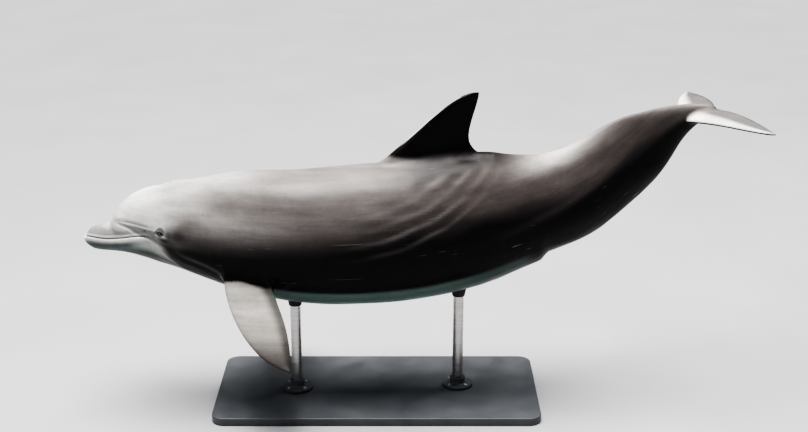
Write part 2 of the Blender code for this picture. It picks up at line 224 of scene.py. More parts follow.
def value_noise(points: Floats, seed: float) -> Floats:
    """A smooth unevenness about -1 to 1: a sum of sines along eight fixed directions.

    Args:
        points: places, already scaled to the noise's own size.
        seed: shifts every wave, for another pattern.

    Returns:
        One value for each place.
    """
    total = np.zeros(points.shape[:-1])
    for k in range(8):
        turn = seed + 2.4 * k
        direction = np.array([math.sin(turn), math.sin(1.7 * turn + 1), math.cos(1.3 * turn)])
        total += np.sin(points @ direction * (1 + 0.35 * k) + 5.1 * turn)
    return total / 4.0


# --- the animal's form in straight space ---


class Side(Enum):
    """The animal's two sides, as the sign of y in straight space."""

    LEFT = 1
    RIGHT = -1


@dataclass(frozen=True)
class BodyForm:
    """The body without its fins: ovals round the axis, and the melon as a second oval.

    Each station is x, the height of the back, the depth of the belly, the half width, and
    the roundness (2 is an ellipse, less is keeled, more is boxy).
    """

    stations: tuple[tuple[float, float, float, float, float], ...] = (
        (0.000, 0.030, 0.035, 0.031, 2.30),
        (0.030, 0.035, 0.045, 0.036, 2.30),
        (0.060, 0.041, 0.052, 0.044, 2.30),
        (0.106, 0.053, 0.057, 0.055, 2.20),
        (0.160, 0.068, 0.063, 0.075, 2.10),
        (0.220, 0.105, 0.077, 0.099, 2.10),
        (0.290, 0.181, 0.098, 0.124, 2.10),
        (0.400, 0.215, 0.136, 0.150, 2.10),
        (0.540, 0.243, 0.187, 0.176, 2.15),
        (0.750, 0.257, 0.241, 0.202, 2.20),
        (1.000, 0.273, 0.261, 0.215, 2.20),
        (1.250, 0.279, 0.264, 0.207, 2.15),
        (1.480, 0.266, 0.255, 0.182, 2.00),
        (1.680, 0.224, 0.225, 0.148, 1.90),
        (1.860, 0.184, 0.200, 0.110, 1.80),
        (2.050, 0.178, 0.164, 0.075, 1.70),
        (2.200, 0.159, 0.142, 0.048, 1.70),
        (2.320, 0.103, 0.101, 0.036, 1.80),
        (2.420, 0.058, 0.060, 0.032, 1.90),
        (2.500, 0.030, 0.030, 0.026, 2.00),
        (2.560, 0.009, 0.010, 0.016, 2.00),
    )
    end: float = 2.56
    end_rounding: float = 0.015
    vent_x: float = 1.705
    vent_step: float = 0.022
    upper_jaw_start: float = 0.011
    lower_lip: float = 0.014
    upper_rounding: float = 0.03
    lower_rounding: float = 0.045
    jaw_tip_drop: float = 0.004
    melon_x: float = 0.3
    melon_reach: float = 0.201
    melon_shape: float = 1.75
    melon_half_width: float = 0.116
    melon_rise: float = 0.193
    melon_fall: float = 0.06
    melon_fillet: float = 0.012
    eye_x: float = 0.318
    eye_angle: float = 70.0
    curves: dict[str, Curve] = field(default_factory=dict)

    def __post_init__(self) -> None:
        """Makes one spline for each column of the stations."""
        for column, name in enumerate(("back", "belly", "half_width", "roundness"), start=1):
            self.curves[name] = Curve([(row[0], row[column]) for row in self.stations])

    def radius(self, x: Floats, angle: Floats) -> Floats:
        """Distance from the axis to the skin; the angle is 0 at the back and pi at the belly.

        The trunk is an oval whose two halves have their own heights. Both jaws begin as
        quarter circles, the upper one a little later. The melon is a further oval that swells
        and fades along x, joined to the trunk by a fillet. Behind the vent the belly steps up.

        Args:
            x: places along the body.
            angle: angles round the axis.

        Returns:
            The radius at each pair of values.
        """
        end = rounded_start(self.end - x, 0.0, self.end_rounding)
        lower_tip = rounded_start(x, 0.0, self.lower_rounding) * end + 1e-5
        upper_tip = rounded_start(x, self.upper_jaw_start, self.upper_rounding) * end
        back = blend_max(self.curves["back"](x) * upper_tip, self.lower_lip * lower_tip, 0.003)
        vent = rise(x, self.vent_x, 0.04) - rise(x, self.vent_x, 0.25)
        belly = (self.curves["belly"](x) - self.vent_step * vent) * lower_tip
        upward = np.cos(angle) > 0
        half_width = self.curves["half_width"](x) * lower_tip
        trunk = oval_radius(angle, half_width, np.where(upward, back, belly), self.curves["roundness"](x))
        swell = 1 - np.clip(np.abs((x - self.melon_x) / self.melon_reach), 0, 1) ** self.melon_shape
        swell = np.sqrt(swell) + 1e-4
        height = np.where(upward, self.melon_rise, self.melon_fall) * swell
        melon = oval_radius(angle, self.melon_half_width * swell, height, 2.1)
        joined = blend_max(trunk, melon, self.melon_fillet * np.minimum(swell, 1))
        return np.where(x < self.melon_x + self.melon_reach, joined, trunk)

    def point(self, x: Floats, angle: Floats, swell: float = 0.0) -> Floats:
        """A point of the left side's skin, pushed out by the swell.

        Args:
            x: places along the body.
            angle: angles round the axis.
            swell: how far out of the skin, in metres.

        Returns:
            The points.
        """
        radius = self.radius(x, angle) + swell
        drop = self.jaw_tip_drop * np.exp(-((x / 0.015) ** 2))
        x = np.broadcast_to(x, radius.shape)
        return np.stack([x, radius * np.sin(angle), radius * np.cos(angle) - drop], -1)

    def depth_outside(self, points: Floats) -> Floats:
        """How far points stand outside the skin, measured from the axis; negative inside."""
        across, up = np.abs(points[..., 1]), points[..., 2]
        return np.hypot(across, up) - self.radius(points[..., 0], np.arctan2(across, up))

    def angle_at_height(self, x: Floats, height: Floats) -> Floats:
        """The angle whose skin point has the given height, found by repeated correction.

        Args:
            x: places along the body.
            height: the wanted height.

        Returns:
            The angle at each x, in radians.
        """
        angle = np.full(np.shape(x), math.pi / 2)
        for _ in range(30):
            angle = np.arccos(np.clip(height / self.radius(x, angle), -0.98, 0.98))
        return angle


@dataclass(frozen=True)
class Bend:
    """A stretch of the spine that turns by so many degrees: tail up, tail right, back left."""

    start: float
    stop: float
    pitch: float
    yaw: float
    roll: float


@dataclass
class Spine:
    """The bent axis of the body: where each x lies, and which way is left and up there."""

    head_pitch: float = 2.0
    bends: tuple[Bend, ...] = (
        Bend(0.12, 0.5, -3.5, 0.0, 0.0),
        Bend(0.7, 1.75, 14.6, 7.0, 0.0),
        Bend(1.66, 2.22, 22.3, 9.0, 0.0),
        Bend(2.26, 2.56, -31.0, 6.0, 3.4),
    )
    length: float = 2.9
    steps: int = 2900
    rods_x: Pair = (0.8, 1.44)
    base_below_axis: float = 0.64

    def __post_init__(self) -> None:
        """Adds up the bends step by step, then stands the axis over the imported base."""
        self.x = np.linspace(0, self.length, self.steps + 1)
        pitch = np.full_like(self.x, self.head_pitch)
        yaw = np.zeros_like(self.x)
        roll = np.zeros_like(self.x)
        for bend in self.bends:
            share = rise(self.x, bend.start, bend.stop - bend.start)
            pitch += bend.pitch * share
            yaw += bend.yaw * share
            roll += bend.roll * share
        pitch, yaw, roll = np.radians(pitch), np.radians(yaw), np.radians(roll)
        self.along = np.stack([np.cos(pitch) * np.cos(yaw), np.cos(pitch) * np.sin(yaw), np.sin(pitch)], -1)
        up = np.stack([-np.sin(pitch) * np.cos(yaw), -np.sin(pitch) * np.sin(yaw), np.cos(pitch)], -1)
        left = np.stack([np.sin(yaw), -np.cos(yaw), np.zeros_like(yaw)], -1)
        lean, stay = np.sin(roll)[:, None], np.cos(roll)[:, None]
        self.up = up * stay + left * lean
        self.left = left * stay - up * lean
        steps = (self.along[1:] + self.along[:-1]) / 2 * (self.length / self.steps)
        self.centre = np.concatenate([np.zeros((1, 3)), np.cumsum(steps, 0)])
        low, high = (np.array(corner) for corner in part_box("stand_base"))
        feet = self.read(self.centre, np.array(self.rods_x)).mean(0)
        middle = (low + high) / 2
        over_base = [feet[0] - middle[0], feet[1] - middle[1], -self.base_below_axis - high[2]]
        self.origin = np.array(over_base)

    def read(self, table: Floats, x: Floats) -> Floats:
        """A table's rows at x, with straight lines between its steps."""
        return np.stack([np.interp(x, self.x, table[:, k]) for k in range(3)], -1)

    def pose(self, points: Floats) -> Floats:
        """Places in the frame of points given in straight space.

        Args:
            points: points in straight space.

        Returns:
            The same points on the bent body.
        """
        x, left, up = points[..., 0], points[..., 1:2], points[..., 2:3]
        before = np.minimum(x, 0)[..., None] * self.read(self.along, x)
        centre = self.read(self.centre, x) + before - self.origin
        return centre + self.read(self.left, x) * left + self.read(self.up, x) * up


class FinPlane(Enum):
    """How a fin's own plane stands on the body."""

    UPRIGHT = "in the animal's middle plane"
    DROOPED = "outward and down from the side of the chest"
    LEVEL = "flat, to the side, with a drooping tip"


@dataclass(frozen=True)
class Nick:
    """A small notch worn into a fin's trailing edge."""

    at: float
    depth: float
    width: float


@dataclass(frozen=True)
class FinForm:
    """A fin as a foil in its own plane: along the body, out from it, and across its thickness."""

    name: str
    plane: FinPlane
    leading: tuple[Pair, Pair, Pair, Pair]
    trailing: tuple[Pair, Pair, Pair, Pair]
    root: tuple[Pair, Pair]
    half_thick: float
    fold_row: int
    last_rows: tuple[int, ...]
    nicks: tuple[Nick, ...] = ()
    droop_angle: float = 50.0
    axis: Pair = (0.15, -0.098)
    tip_droop: float = 0.03
    half_span: float = 0.3
    edge_half: float = 1.3 * MM

    def outline(self, share: Floats) -> Floats:
        """The edge from the front root round the tip to the rear root, crowded at the tip.

        The first half of the share runs up the leading curve and the second half down the
        trailing one. Each nick pulls the trailing edge in towards the root by a round hump.

        Args:
            share: how far round the edge.

        Returns:
            The edge's (along, out) points.
        """
        front = bezier(self.leading, np.sin(np.pi * np.clip(share, 0, 0.5)))
        back_share = 1 - np.sin(np.pi * np.clip(1 - share, 0, 0.5))
        back = bezier(self.trailing, back_share)
        inward = self.foot(share) - back
        inward /= np.linalg.norm(inward, axis=-1, keepdims=True) + 1e-9
        for nick in self.nicks:
            back = back + inward * (nick.depth * hump(back_share - nick.at, nick.width))[..., None]
        return np.where((share <= 0.5)[..., None], front, back)

    def foot(self, share: Floats) -> Floats:
        """The point of the buried root line that a share of the outline grows from."""
        start, stop = np.array(self.root, float)
        return start + (stop - start) * np.asarray(share)[..., None]

    def chord(self, along: Floats, out: Floats) -> tuple[Floats, Floats]:
        """Where a point lies between the leading and trailing edges, and how far out it is.

        Args:
            along: how far along the body.
            out: how far out from the fin's axis.

        Returns:
            0 at the leading edge to 1 at the trailing edge, and 0 at the root to 1 at the tip.
        """
        t = np.linspace(0, 1, 160)
        lead, trail = bezier(self.leading, t), bezier(self.trailing, t)[::-1]
        top = max(lead[-1, 1], trail[:, 1].max()) - 1e-4
        out = np.clip(out, min(lead[0, 1], trail[0, 1]), top)
        front = np.interp(out, np.maximum.accumulate(lead[:, 1]), lead[:, 0])
        back = np.interp(out, np.maximum.accumulate(trail[:, 1]), trail[:, 0])
        reach = (out - lead[0, 1]) / (top - lead[0, 1])
        return np.clip((along - front) / np.maximum(back - front, 1e-4), 0, 1), np.clip(reach, 0, 1)

    def sheet(self, share: Floats, row: Floats) -> Floats:
        """Points of the fin's middle plane; row is 0 at the buried root and 1 at the edge."""
        row = np.asarray(row)[..., None]
        return blend(self.foot(share), self.outline(share), row)

    def thickness(self, sheet: Floats, row: Floats, share: Floats) -> Floats:
        """Half the fin's thickness: a foil that thins towards the tip, with a rounded rim.

        Args:
            sheet: the (along, out) points of the fin's middle plane.
            row: 0 at the foot to 1 on the rim.
            share: how far round the edge.

        Returns:
            Half the thickness at each point.
        """
        chord, reach = self.chord(sheet[..., 0], sheet[..., 1])
        foil = 2.6 * np.sqrt(chord) * (1 - chord) * (1 - 0.35 * chord) / 0.87
        from_edge = (1 - row) * np.linalg.norm(self.outline(share) - self.foot(share), axis=-1)
        rim = self.edge_half * rounded_start(from_edge, 0.0, 2 * self.edge_half)
        return foil * self.half_thick * (1 - 0.75 * reach) * smooth_step(from_edge / (4 * MM)) + rim

    def place(self, along: Floats, out: Floats, across: Floats) -> Floats:
        """Straight-space points from the fin's own three coordinates.

        Args:
            along: how far along the body.
            out: how far out from the fin's axis, in its plane.
            across: how far off its plane.

        Returns:
            The points.
        """
        if self.plane is FinPlane.UPRIGHT:
            return np.stack([along, across, out], -1)
        if self.plane is FinPlane.LEVEL:
            return np.stack([along, out, across - self.tip_droop * (out / self.half_span) ** 2], -1)
        cos, sin = self.droop
        aside = self.axis[0] + out * cos + across * sin
        up = self.axis[1] - out * sin + across * cos
        return np.stack([along, aside, up], -1)

    @property
    def droop(self) -> Pair:
        """The cosine and sine of the droop."""
        turn = math.radians(self.droop_angle)
        return math.cos(turn), math.sin(turn)

    def reach_out(self, places: Floats) -> Floats:
        """How far out along the drooped plane places in straight space lie."""
        cos, sin = self.droop
        return (places[..., 1] - self.axis[0]) * cos - (places[..., 2] - self.axis[1]) * sin

    def wall(self, share: Floats, row: Floats, face: float) -> Floats:
        """Points of one face of the fin (1 or -1), or of its middle plane (0).

        Args:
            share: how far round the edge.
            row: 0 at the foot to 1 on the rim.
            face: the side of the middle plane.

        Returns:
            The points.
        """
        share, row = np.broadcast_arrays(share, row)
        sheet = self.sheet(share, row)
        across = face * self.thickness(sheet, row, share) if face else np.zeros(share.shape)
        return self.place(sheet[..., 0], sheet[..., 1], across)


DORSAL_FIN = FinForm(
    name="dorsal fin",
    plane=FinPlane.UPRIGHT,
    leading=((1.12, 0.27), (1.233, 0.326), (1.504, 0.532), (1.615, 0.49)),
    trailing=((1.615, 0.49), (1.588, 0.405), (1.452, 0.3), (1.618, 0.235)),
    root=((1.12, 0.2), (1.56, 0.19)),
    half_thick=0.024,
    fold_row=0,
    last_rows=(24,),
    nicks=(
        Nick(0.22, 0.008, 0.018), Nick(0.36, 0.006, 0.014),
        Nick(0.52, 0.005, 0.016), Nick(0.66, 0.007, 0.016),
    ),
)
FLIPPER = FinForm(
    name="flipper",
    plane=FinPlane.DROOPED,
    leading=((0.552, -0.02), (0.548, 0.126), (0.666, 0.345), (0.818, 0.377)),
    trailing=((0.818, 0.377), (0.812, 0.322), (0.812, 0.108), (0.645, -0.02)),
    root=((0.56, -0.035), (0.7, -0.035)),
    half_thick=0.017,
    fold_row=70,
    last_rows=(44, 90),
)
FLUKE = FinForm(
    name="fluke",
    plane=FinPlane.LEVEL,
    leading=((2.39, 0.004), (2.417, 0.063), (2.524, 0.236), (2.628, 0.29)),
    trailing=((2.628, 0.29), (2.622, 0.242), (2.622, 0.096), (2.558, 0.004)),
    root=((2.41, 0.002), (2.55, 0.002)),
    half_thick=0.013,
    fold_row=70,
    last_rows=(32, 100),
    nicks=(Nick(0.42, 0.004, 0.018), Nick(0.66, 0.003, 0.016)),
)
FINS = (DORSAL_FIN, FLIPPER, FLUKE)


# --- the hide's grid ---


@dataclass(frozen=True)
class RowZone:
    """A stretch of the body in which chosen rows sit at chosen angles, in degrees.

    The stretch fades in over its first pair of x and out over its second pair. The angles
    before the key row count from the back, and the others are steps away from the key row.
    """

    fade: tuple[float, float, float, float]
    from_back: tuple[float, float, float, float]
    beside_key: float
    beyond_key: Pair

    def weight(self, x: Floats) -> Floats:
        """1 inside the stretch and 0 outside it, with smooth ends."""
        first, full, last, gone = self.fade
        return rise(x, first, full - first) * fall(x, last, gone - last)


@dataclass
class HideGrid:
    """The left half of the hide in straight space, as columns of rows.

    The key row follows the mouth, passes below the eye, runs to the flipper's root and rises
    to the flukes; the flippers and the flukes fold round it, and the dorsal fin round row 0.
    At the beak's tip it stands straight out to the side, so that the rows close evenly there.
    """

    body: BodyForm
    columns: int = 448
    rows: int = 110
    key_row: int = 70
    mark_rows: tuple[int, ...] = (0, 12, 24, 32, 44, 66, 70, 74, 90, 100, 110)
    key_line: tuple[Pair, ...] = (
        (-0.03, 0.01), (0.04, 0.009), (0.1, 0.005), (0.16, 0.015), (0.22, 0.028), (0.262, 0.028),
        (0.3, 0.013), (0.34, -0.005), (0.41, -0.04), (0.48, -0.07), (0.56, -0.118), (0.66, -0.13),
        (0.8, -0.125), (1.1, -0.09), (1.5, -0.045), (2.0, -0.012), (2.35, 0.0), (2.56, 0.0),
    )
    zones: tuple[RowZone, ...] = (
        RowZone((-0.2, -0.1, 0.4, 0.52), (5.5, 20.0, 44.0, 57.0), 2.4, (34.0, 60.0)),
        RowZone((0.42, 0.52, 0.8, 0.92), (28.0, 56.0, 76.0, 107.0), 2.9, (19.0, 36.0)),
        RowZone((0.96, 1.06, 1.7, 1.82), (8.0, 16.0, 33.0, 59.0), 8.4, (32.0, 49.0)),
        RowZone((2.26, 2.35, 3.0, 3.1), (14.0, 29.0, 38.0, 54.0), 5.5, (35.0, 52.0)),
    )
    tip_key_angle: float = 88.0
    least_before_key: tuple[float, ...] = (40.0, 25.0, 18.0, 12.0)
    eye_pull: float = 5.4
    eye_pull_angle: float = 10.0
    eye_pull_reach: float = 0.035
    fillet: float = 0.024
    smoothing_rounds: int = 26

    def column_places(self) -> Floats:
        """Where the columns stand: equal shares of a density of columns for each metre.

        The density has a floor all along the body and swells at the beak's tip, where it
        follows one over the root of x, at the front of the upper jaw, on the head, round
        the eye, under each fin and along the flukes.

        Returns:
            The x of each column, from the jaw's tip to the tail's end.
        """
        tip = np.geomspace(0.00003, 0.02, 500)
        x = np.concatenate([tip, np.linspace(0.0204, self.body.end - 0.0006, 6000)])
        density = 70 + 210 * fall(x, 0.38, 0.1)
        density += 450 * hump(x - self.body.eye_x, 0.03)
        density += (200 + 26 / np.sqrt(x)) * np.exp(-x / 0.018)
        density += 900 * hump(x - 0.0125, 0.003)
        density += 190 * rise(x, 0.5, 0.04) * fall(x, 0.78, 0.05)
        density += 75 * rise(x, 1.02, 0.06) * fall(x, 1.66, 0.06)
        density += 420 * rise(x, 2.33, 0.05)
        amount = np.cumsum((density[1:] + density[:-1]) / 2 * np.diff(x))
        share = np.concatenate([[0.0], amount])
        return np.interp(np.linspace(0, share[-1], self.columns), share, x)

    def row_angles(self, x: Floats) -> Floats:
        """The angle of every row at every column.

        Between the marked rows the angles are spaced evenly. The key row keeps its own angle
        at the very tip. Round the eye the rows are pulled together by a shift that is largest
        a little off the eye and fades away.

        Args:
            x: the columns.

        Returns:
            One angle for each column and row.
        """
        key = np.degrees(self.body.angle_at_height(x, Curve(self.key_line)(x)))
        key = self.tip_key_angle + (key - self.tip_key_angle) * rise(x, 0.004, 0.016)
        marks = np.array(self.mark_rows, float)
        even = np.where(
            marks <= self.key_row,
            key[:, None] * marks / self.key_row,
            key[:, None] + (180 - key[:, None]) * (marks - self.key_row) / (self.rows - self.key_row),
        )
        least = key[:, None] - np.array(self.least_before_key)
        angles = even.copy()
        for zone in self.zones:
            wanted = even.copy()
            wanted[:, 1:5] = np.minimum(np.array(zone.from_back), least)
            wanted[:, 5] = key - zone.beside_key
            wanted[:, 7] = key + zone.beside_key
            wanted[:, 8:10] = key[:, None] + np.array(zone.beyond_key)
            angles += zone.weight(x)[:, None] * (wanted - even)
        rows = np.arange(self.rows + 1)
        place = np.clip(np.searchsorted(marks, rows, side="right") - 1, 0, len(marks) - 2)
        share = (rows - marks[place]) / (marks[place + 1] - marks[place])
        every = blend(angles[:, place], angles[:, place + 1], share)
        off = (every - self.body.eye_angle) / self.eye_pull_angle
        pull = self.eye_pull * hump(x - self.body.eye_x, self.eye_pull_reach)[:, None]
        return np.radians(every - pull * off * np.exp(-(off**2)))

    def fold(self, fin: FinForm, x: Floats, angle: Floats, places: Floats) -> Floats:
        """Pulls the rows of the columns at a fin's root out over the fin, in place.

        Each share of the outline has a line from its buried foot to the edge. The line's
        crossing with the skin says which column carries it. From the edge inward the rows
        follow the wall to that crossing and then the skin to the fold's last row, spaced by
        the length travelled and crowded at the edge.

        Args:
            fin: the fin to fold out.
            x: the columns.
            angle: the angle of every row at every column.
            places: the half grid, which is changed.

        Returns:
            The length of wall that each column carries, 0 away from the fin.
        """
        share = np.linspace(0, 1, 400)
        row = np.linspace(0, 1, 160)
        height = self.body.depth_outside(fin.wall(share[:, None], row[None], 0))
        above = np.nonzero(height[:, -1] > 0.5 * MM)[0]
        share, height = share[above[0] : above[-1] + 1], height[above[0] : above[-1] + 1]
        crossing = last_crossing(row, height)
        crossing_x = fin.wall(share, crossing, 0)[:, 0]
        order = np.argsort(crossing_x)
        carried = (x > crossing_x.min()) & (x < crossing_x.max())
        mine = np.interp(x[carried], crossing_x[order], share[order])
        walls = np.zeros(len(x))
        for face, last in zip((1, -1), fin.last_rows):
            foot = last_crossing(row, self.body.depth_outside(fin.wall(mine[:, None], row[None], face)))
            up_wall = 1 - (1 - foot)[:, None] * np.linspace(0, 1, 60)[None] ** 1.5
            wall = fin.wall(mine[:, None], up_wall, face)
            base = wall[:, -1]
            base_angle = np.arctan2(base[:, 1], base[:, 2])
            along_skin = np.linspace(0, 1, 32)[None, 1:]
            skin_x = base[:, :1] + (x[carried][:, None] - base[:, :1]) * along_skin
            skin_angle = base_angle[:, None] + (angle[carried, last] - base_angle)[:, None] * along_skin
            path = np.concatenate([wall, self.body.point(skin_x, skin_angle)], 1)
            travelled = travelled_along(path)
            count = abs(last - fin.fold_row)
            even = np.linspace(0, 1, count + 1)[None]
            wall_length = travelled[:, 59]
            crowd = np.clip(wall_length / 0.05, 0, 1)[:, None]
            wanted = travelled[:, -1:] * (even + crowd * (even**1.35 - even))
            place = (travelled[:, None, :] <= wanted[..., None]).sum(-1) - 1
            place = np.clip(place, 0, path.shape[1] - 2)
            column = np.arange(len(path))[:, None]
            start, stop = travelled[column, place], travelled[column, place + 1]
            between = ((wanted - start) / np.maximum(stop - start, 1e-9))[..., None]
            rows = fin.fold_row + np.sign(last - fin.fold_row) * np.arange(count + 1)
            folded = blend(path[column, place], path[column, place + 1], between)
            places[np.nonzero(carried)[0][:, None], rows[None]] = folded
            walls[carried] = np.maximum(walls[carried], wall_length)
        return walls

    def from_fold(self, fin: FinForm, places: Floats) -> Floats:
        """The length travelled down each column between every point and the row of the fold."""
        travelled = travelled_along(places)
        return np.abs(travelled - travelled[:, fin.fold_row : fin.fold_row + 1])

    def fillet_weight(self, fin: FinForm, x: Floats, places: Floats, walls: Floats) -> Floats:
        """How strongly each point near a fin's foot is smoothed: humps over the length travelled.

        Args:
            fin: the fin.
            x: the columns.
            places: the half grid.
            walls: the fin's wall lengths.

        Returns:
            0 to 1 for each point.
        """
        carried = np.nonzero(walls > 0)[0]
        off_x = np.maximum(np.maximum(x[carried[0]] - x, x - x[carried[-1]]), 0)
        weight = np.zeros(places.shape[:2])
        away = self.from_fold(fin, places)
        near = hump(away - walls[:, None], self.fillet) * hump(off_x, self.fillet)[:, None]
        rows = slice(min(*fin.last_rows, fin.fold_row), max(*fin.last_rows, fin.fold_row) + 1)
        weight[:, rows] = near[:, rows]
        return weight

    def smooth(self, places: Floats, weight: Floats) -> Floats:
        """Draws each weighted point towards the mean of its four neighbours, round by round.

        Args:
            places: the half grid.
            weight: 0 to 1 for each point.

        Returns:
            The smoothed half grid.
        """
        mirror = np.array([1.0, -1.0, 1.0])
        for _ in range(self.smoothing_rounds):
            ring = np.concatenate([places[:, 1:2] * mirror, places, places[:, -2:-1] * mirror], 1)
            mean = (ring[:, :-2] + ring[:, 2:]) / 4
            mean[1:-1] += (places[:-2] + places[2:]) / 4
            mean[[0, -1]] += places[[0, -1]] / 2
            places = places + 0.7 * weight[..., None] * (mean - places)
        return places

    def beyond_foot(self, fin: FinForm, places: Floats, walls: Floats) -> Floats:
        """How far out on a fin each point stands, as the length of wall past the fin's foot."""
        away = self.from_fold(fin, places)
        return np.where(walls[:, None] > 0, walls[:, None] - away, -1.0)

    def build(self) -> tuple[Floats, Floats, dict[str, Floats]]:
        """The half grid with its fins folded out and filleted.

        Returns:
            The columns' x, the points, and each fin's wall lengths by name.
        """
        x = self.column_places()
        angle = self.row_angles(x)
        places = self.body.point(x[:, None], angle)
        walls = {fin.name: self.fold(fin, x, angle, places) for fin in FINS}
        weight = np.zeros(places.shape[:2])
        for fin in FINS:
            weight = np.maximum(weight, self.fillet_weight(fin, x, places, walls[fin.name]))
        return x, self.smooth(places, weight), walls


def behind_tip(x: Floats) -> Floats:
    """0 round the beak's tip and 1 behind it."""
    return rise(x, 0.016, 0.01)


def above_mouth(places: Floats) -> Floats:
    """How high each place of the half grid stands above the mouth line.

    Round the beak's tip the line leaves the key row and follows the crease under the front
    of the upper jaw; there it is met at an equal distance from the middle plane.

    Args:
        places: the half grid.

    Returns:
        The height in metres, negative below the line.
    """
    key = places[:, HideGrid.key_row]
    first, last = np.searchsorted(key[:, 0], (BodyForm.upper_jaw_start + 0.0004, 0.03))
    line = np.concatenate([places[first, : HideGrid.key_row], key[first:last]])
    at_tip = np.interp(places[..., 1], np.maximum.accumulate(line[:, 1]), line[:, 2])
    return places[..., 2] - blend(at_tip, key[:, None, 2], behind_tip(places[..., 0]))


def grid_normals(places: Floats) -> Floats:
    """Outward normals of the half grid: the cross product of its two directions."""
    normal = np.cross(np.gradient(places, axis=0), np.gradient(places, axis=1))
    return normal / (np.linalg.norm(normal, axis=-1, keepdims=True) + 1e-12)


# --- forms raised and sunk in the hide ---


class Seen(Enum):
    """The direction from which a groove's route is drawn."""

    FROM_SIDE = (0, 2)
    FROM_ABOVE = (0, 1)


@dataclass(frozen=True)
class Groove:
    """A crease: its route, how deep and wide it is, how high its two lips stand, and how much painted shade
    darkens it.

    The depth follows a round hump across the route and fades smoothly at both ends.
    """

    route: tuple[Pair, ...]
    depth: float
    width: float
    lip: float = 0.0
    seen: Seen = Seen.FROM_SIDE
    upward: bool = True
    fade: Pair = (0.15, 0.15)
    # how strongly painted shade darkens the groove
    groove_shade: float = 0.3

    def height(self, places: Floats) -> Floats:
        """The groove's height over the skin at each place, negative in the groove.

        Args:
            places: the half grid.

        Returns:
            The height in metres.
        """
        flat = places[..., list(self.seen.value)]
        distance, share = route_distance(flat, route_points(self.route, 28))
        first, last = (max(length, 1e-3) for length in self.fade)
        ends = smooth_step(share / first) * smooth_step((1 - share) / last)
        beyond = 2.1 * self.width
        height = self.lip * hump(distance - beyond, self.width) - self.depth * hump(distance, self.width)
        if self.seen is Seen.FROM_ABOVE:
            right_half = places[..., 2] > 0 if self.upward else places[..., 2] < 0
            height = height * right_half
        return height * ends


GROOVES: dict[str, Groove] = {
    "foot of the melon": Groove(
        ((0.101, 0.0), (0.105, 0.03), (0.116, 0.052)),
        3.0 * MM, 7 * MM, seen=Seen.FROM_ABOVE, fade=(0.0, 0.1), groove_shade=0.15,
    ),
    "beak crease": Groove(
        ((0.112, 0.074), (0.15, 0.067), (0.188, 0.058), (0.215, 0.045), (0.24, 0.031)),
        2.8 * MM, 5 * MM, 0.5 * MM, fade=(0.35, 0.15), groove_shade=0.3,
    ),
    "cheek crease": Groove(
        ((0.12, 0.078), (0.178, 0.079), (0.229, 0.073), (0.279, 0.064), (0.3, 0.062)),
        1.8 * MM, 5 * MM, 0.3 * MM, fade=(0.2, 0.3), groove_shade=0.4,
    ),
    "corner of the mouth": Groove(
        ((0.252, 0.029), (0.268, 0.026), (0.284, 0.015), (0.296, 0.002)),
        2.6 * MM, 4 * MM, 1.0 * MM, fade=(0.1, 0.6), groove_shade=0.35,
    ),
    "cheek fold": Groove(
        ((0.284, 0.02), (0.335, 0.0), (0.407, -0.038), (0.483, -0.067), (0.53, -0.088)),
        1.4 * MM, 12 * MM, 1.8 * MM, fade=(0.2, 0.5), groove_shade=0.0,
    ),
    "throat fold": Groove(
        ((0.25, -0.04), (0.3, -0.068), (0.36, -0.1), (0.43, -0.13)),
        1.6 * MM, 9 * MM, 1.0 * MM, fade=(0.4, 0.4),
    ),
    "first neck fold": Groove(
        ((0.395, 0.14), (0.42, 0.08), (0.43, 0.01), (0.425, -0.05)),
        0.8 * MM, 11 * MM, 0.5 * MM, fade=(0.5, 0.5), groove_shade=0.0,
    ),
    "second neck fold": Groove(
        ((0.45, 0.11), (0.472, 0.05), (0.48, -0.02)),
        0.7 * MM, 12 * MM, 0.5 * MM, fade=(0.5, 0.5), groove_shade=0.0,
    ),
    "ear hole": Groove(
        ((0.366, 0.012), (0.369, 0.012)),
        2.0 * MM, 2.2 * MM, 0.4 * MM, fade=(0.0, 0.0), groove_shade=0.8,
    ),
    "blowhole": Groove(
        ((0.322, 0.0155), (0.331, 0.014), (0.339, 0.0085), (0.342, 0.0)),
        6.5 * MM, 2.0 * MM, 0.9 * MM, seen=Seen.FROM_ABOVE, fade=(0.25, 0.0), groove_shade=0.95,
    ),
    "genital slit": Groove(
        ((1.56, 0.0), (1.6, 0.001), (1.672, 0.0)),
        5.0 * MM, 4.0 * MM, 2.0 * MM, seen=Seen.FROM_ABOVE, upward=False, fade=(0.2, 0.2),
    ),
    "vent": Groove(
        ((1.712, 0.0), (1.73, 0.0)),
        5.0 * MM, 5.0 * MM, 2.0 * MM, seen=Seen.FROM_ABOVE, upward=False, fade=(0.1, 0.1),
    ),
    "navel": Groove(
        ((1.08, 0.0), (1.105, 0.0)),
        3.0 * MM, 6.0 * MM, 1.0 * MM, seen=Seen.FROM_ABOVE, upward=False, fade=(0.1, 0.1),
    ),
    "armpit fold": Groove(
        ((0.77, -0.15), (0.8, -0.12), (0.85, -0.105)),
        2.4 * MM, 9 * MM, 1.6 * MM, fade=(0.2, 0.5),
    ),
}


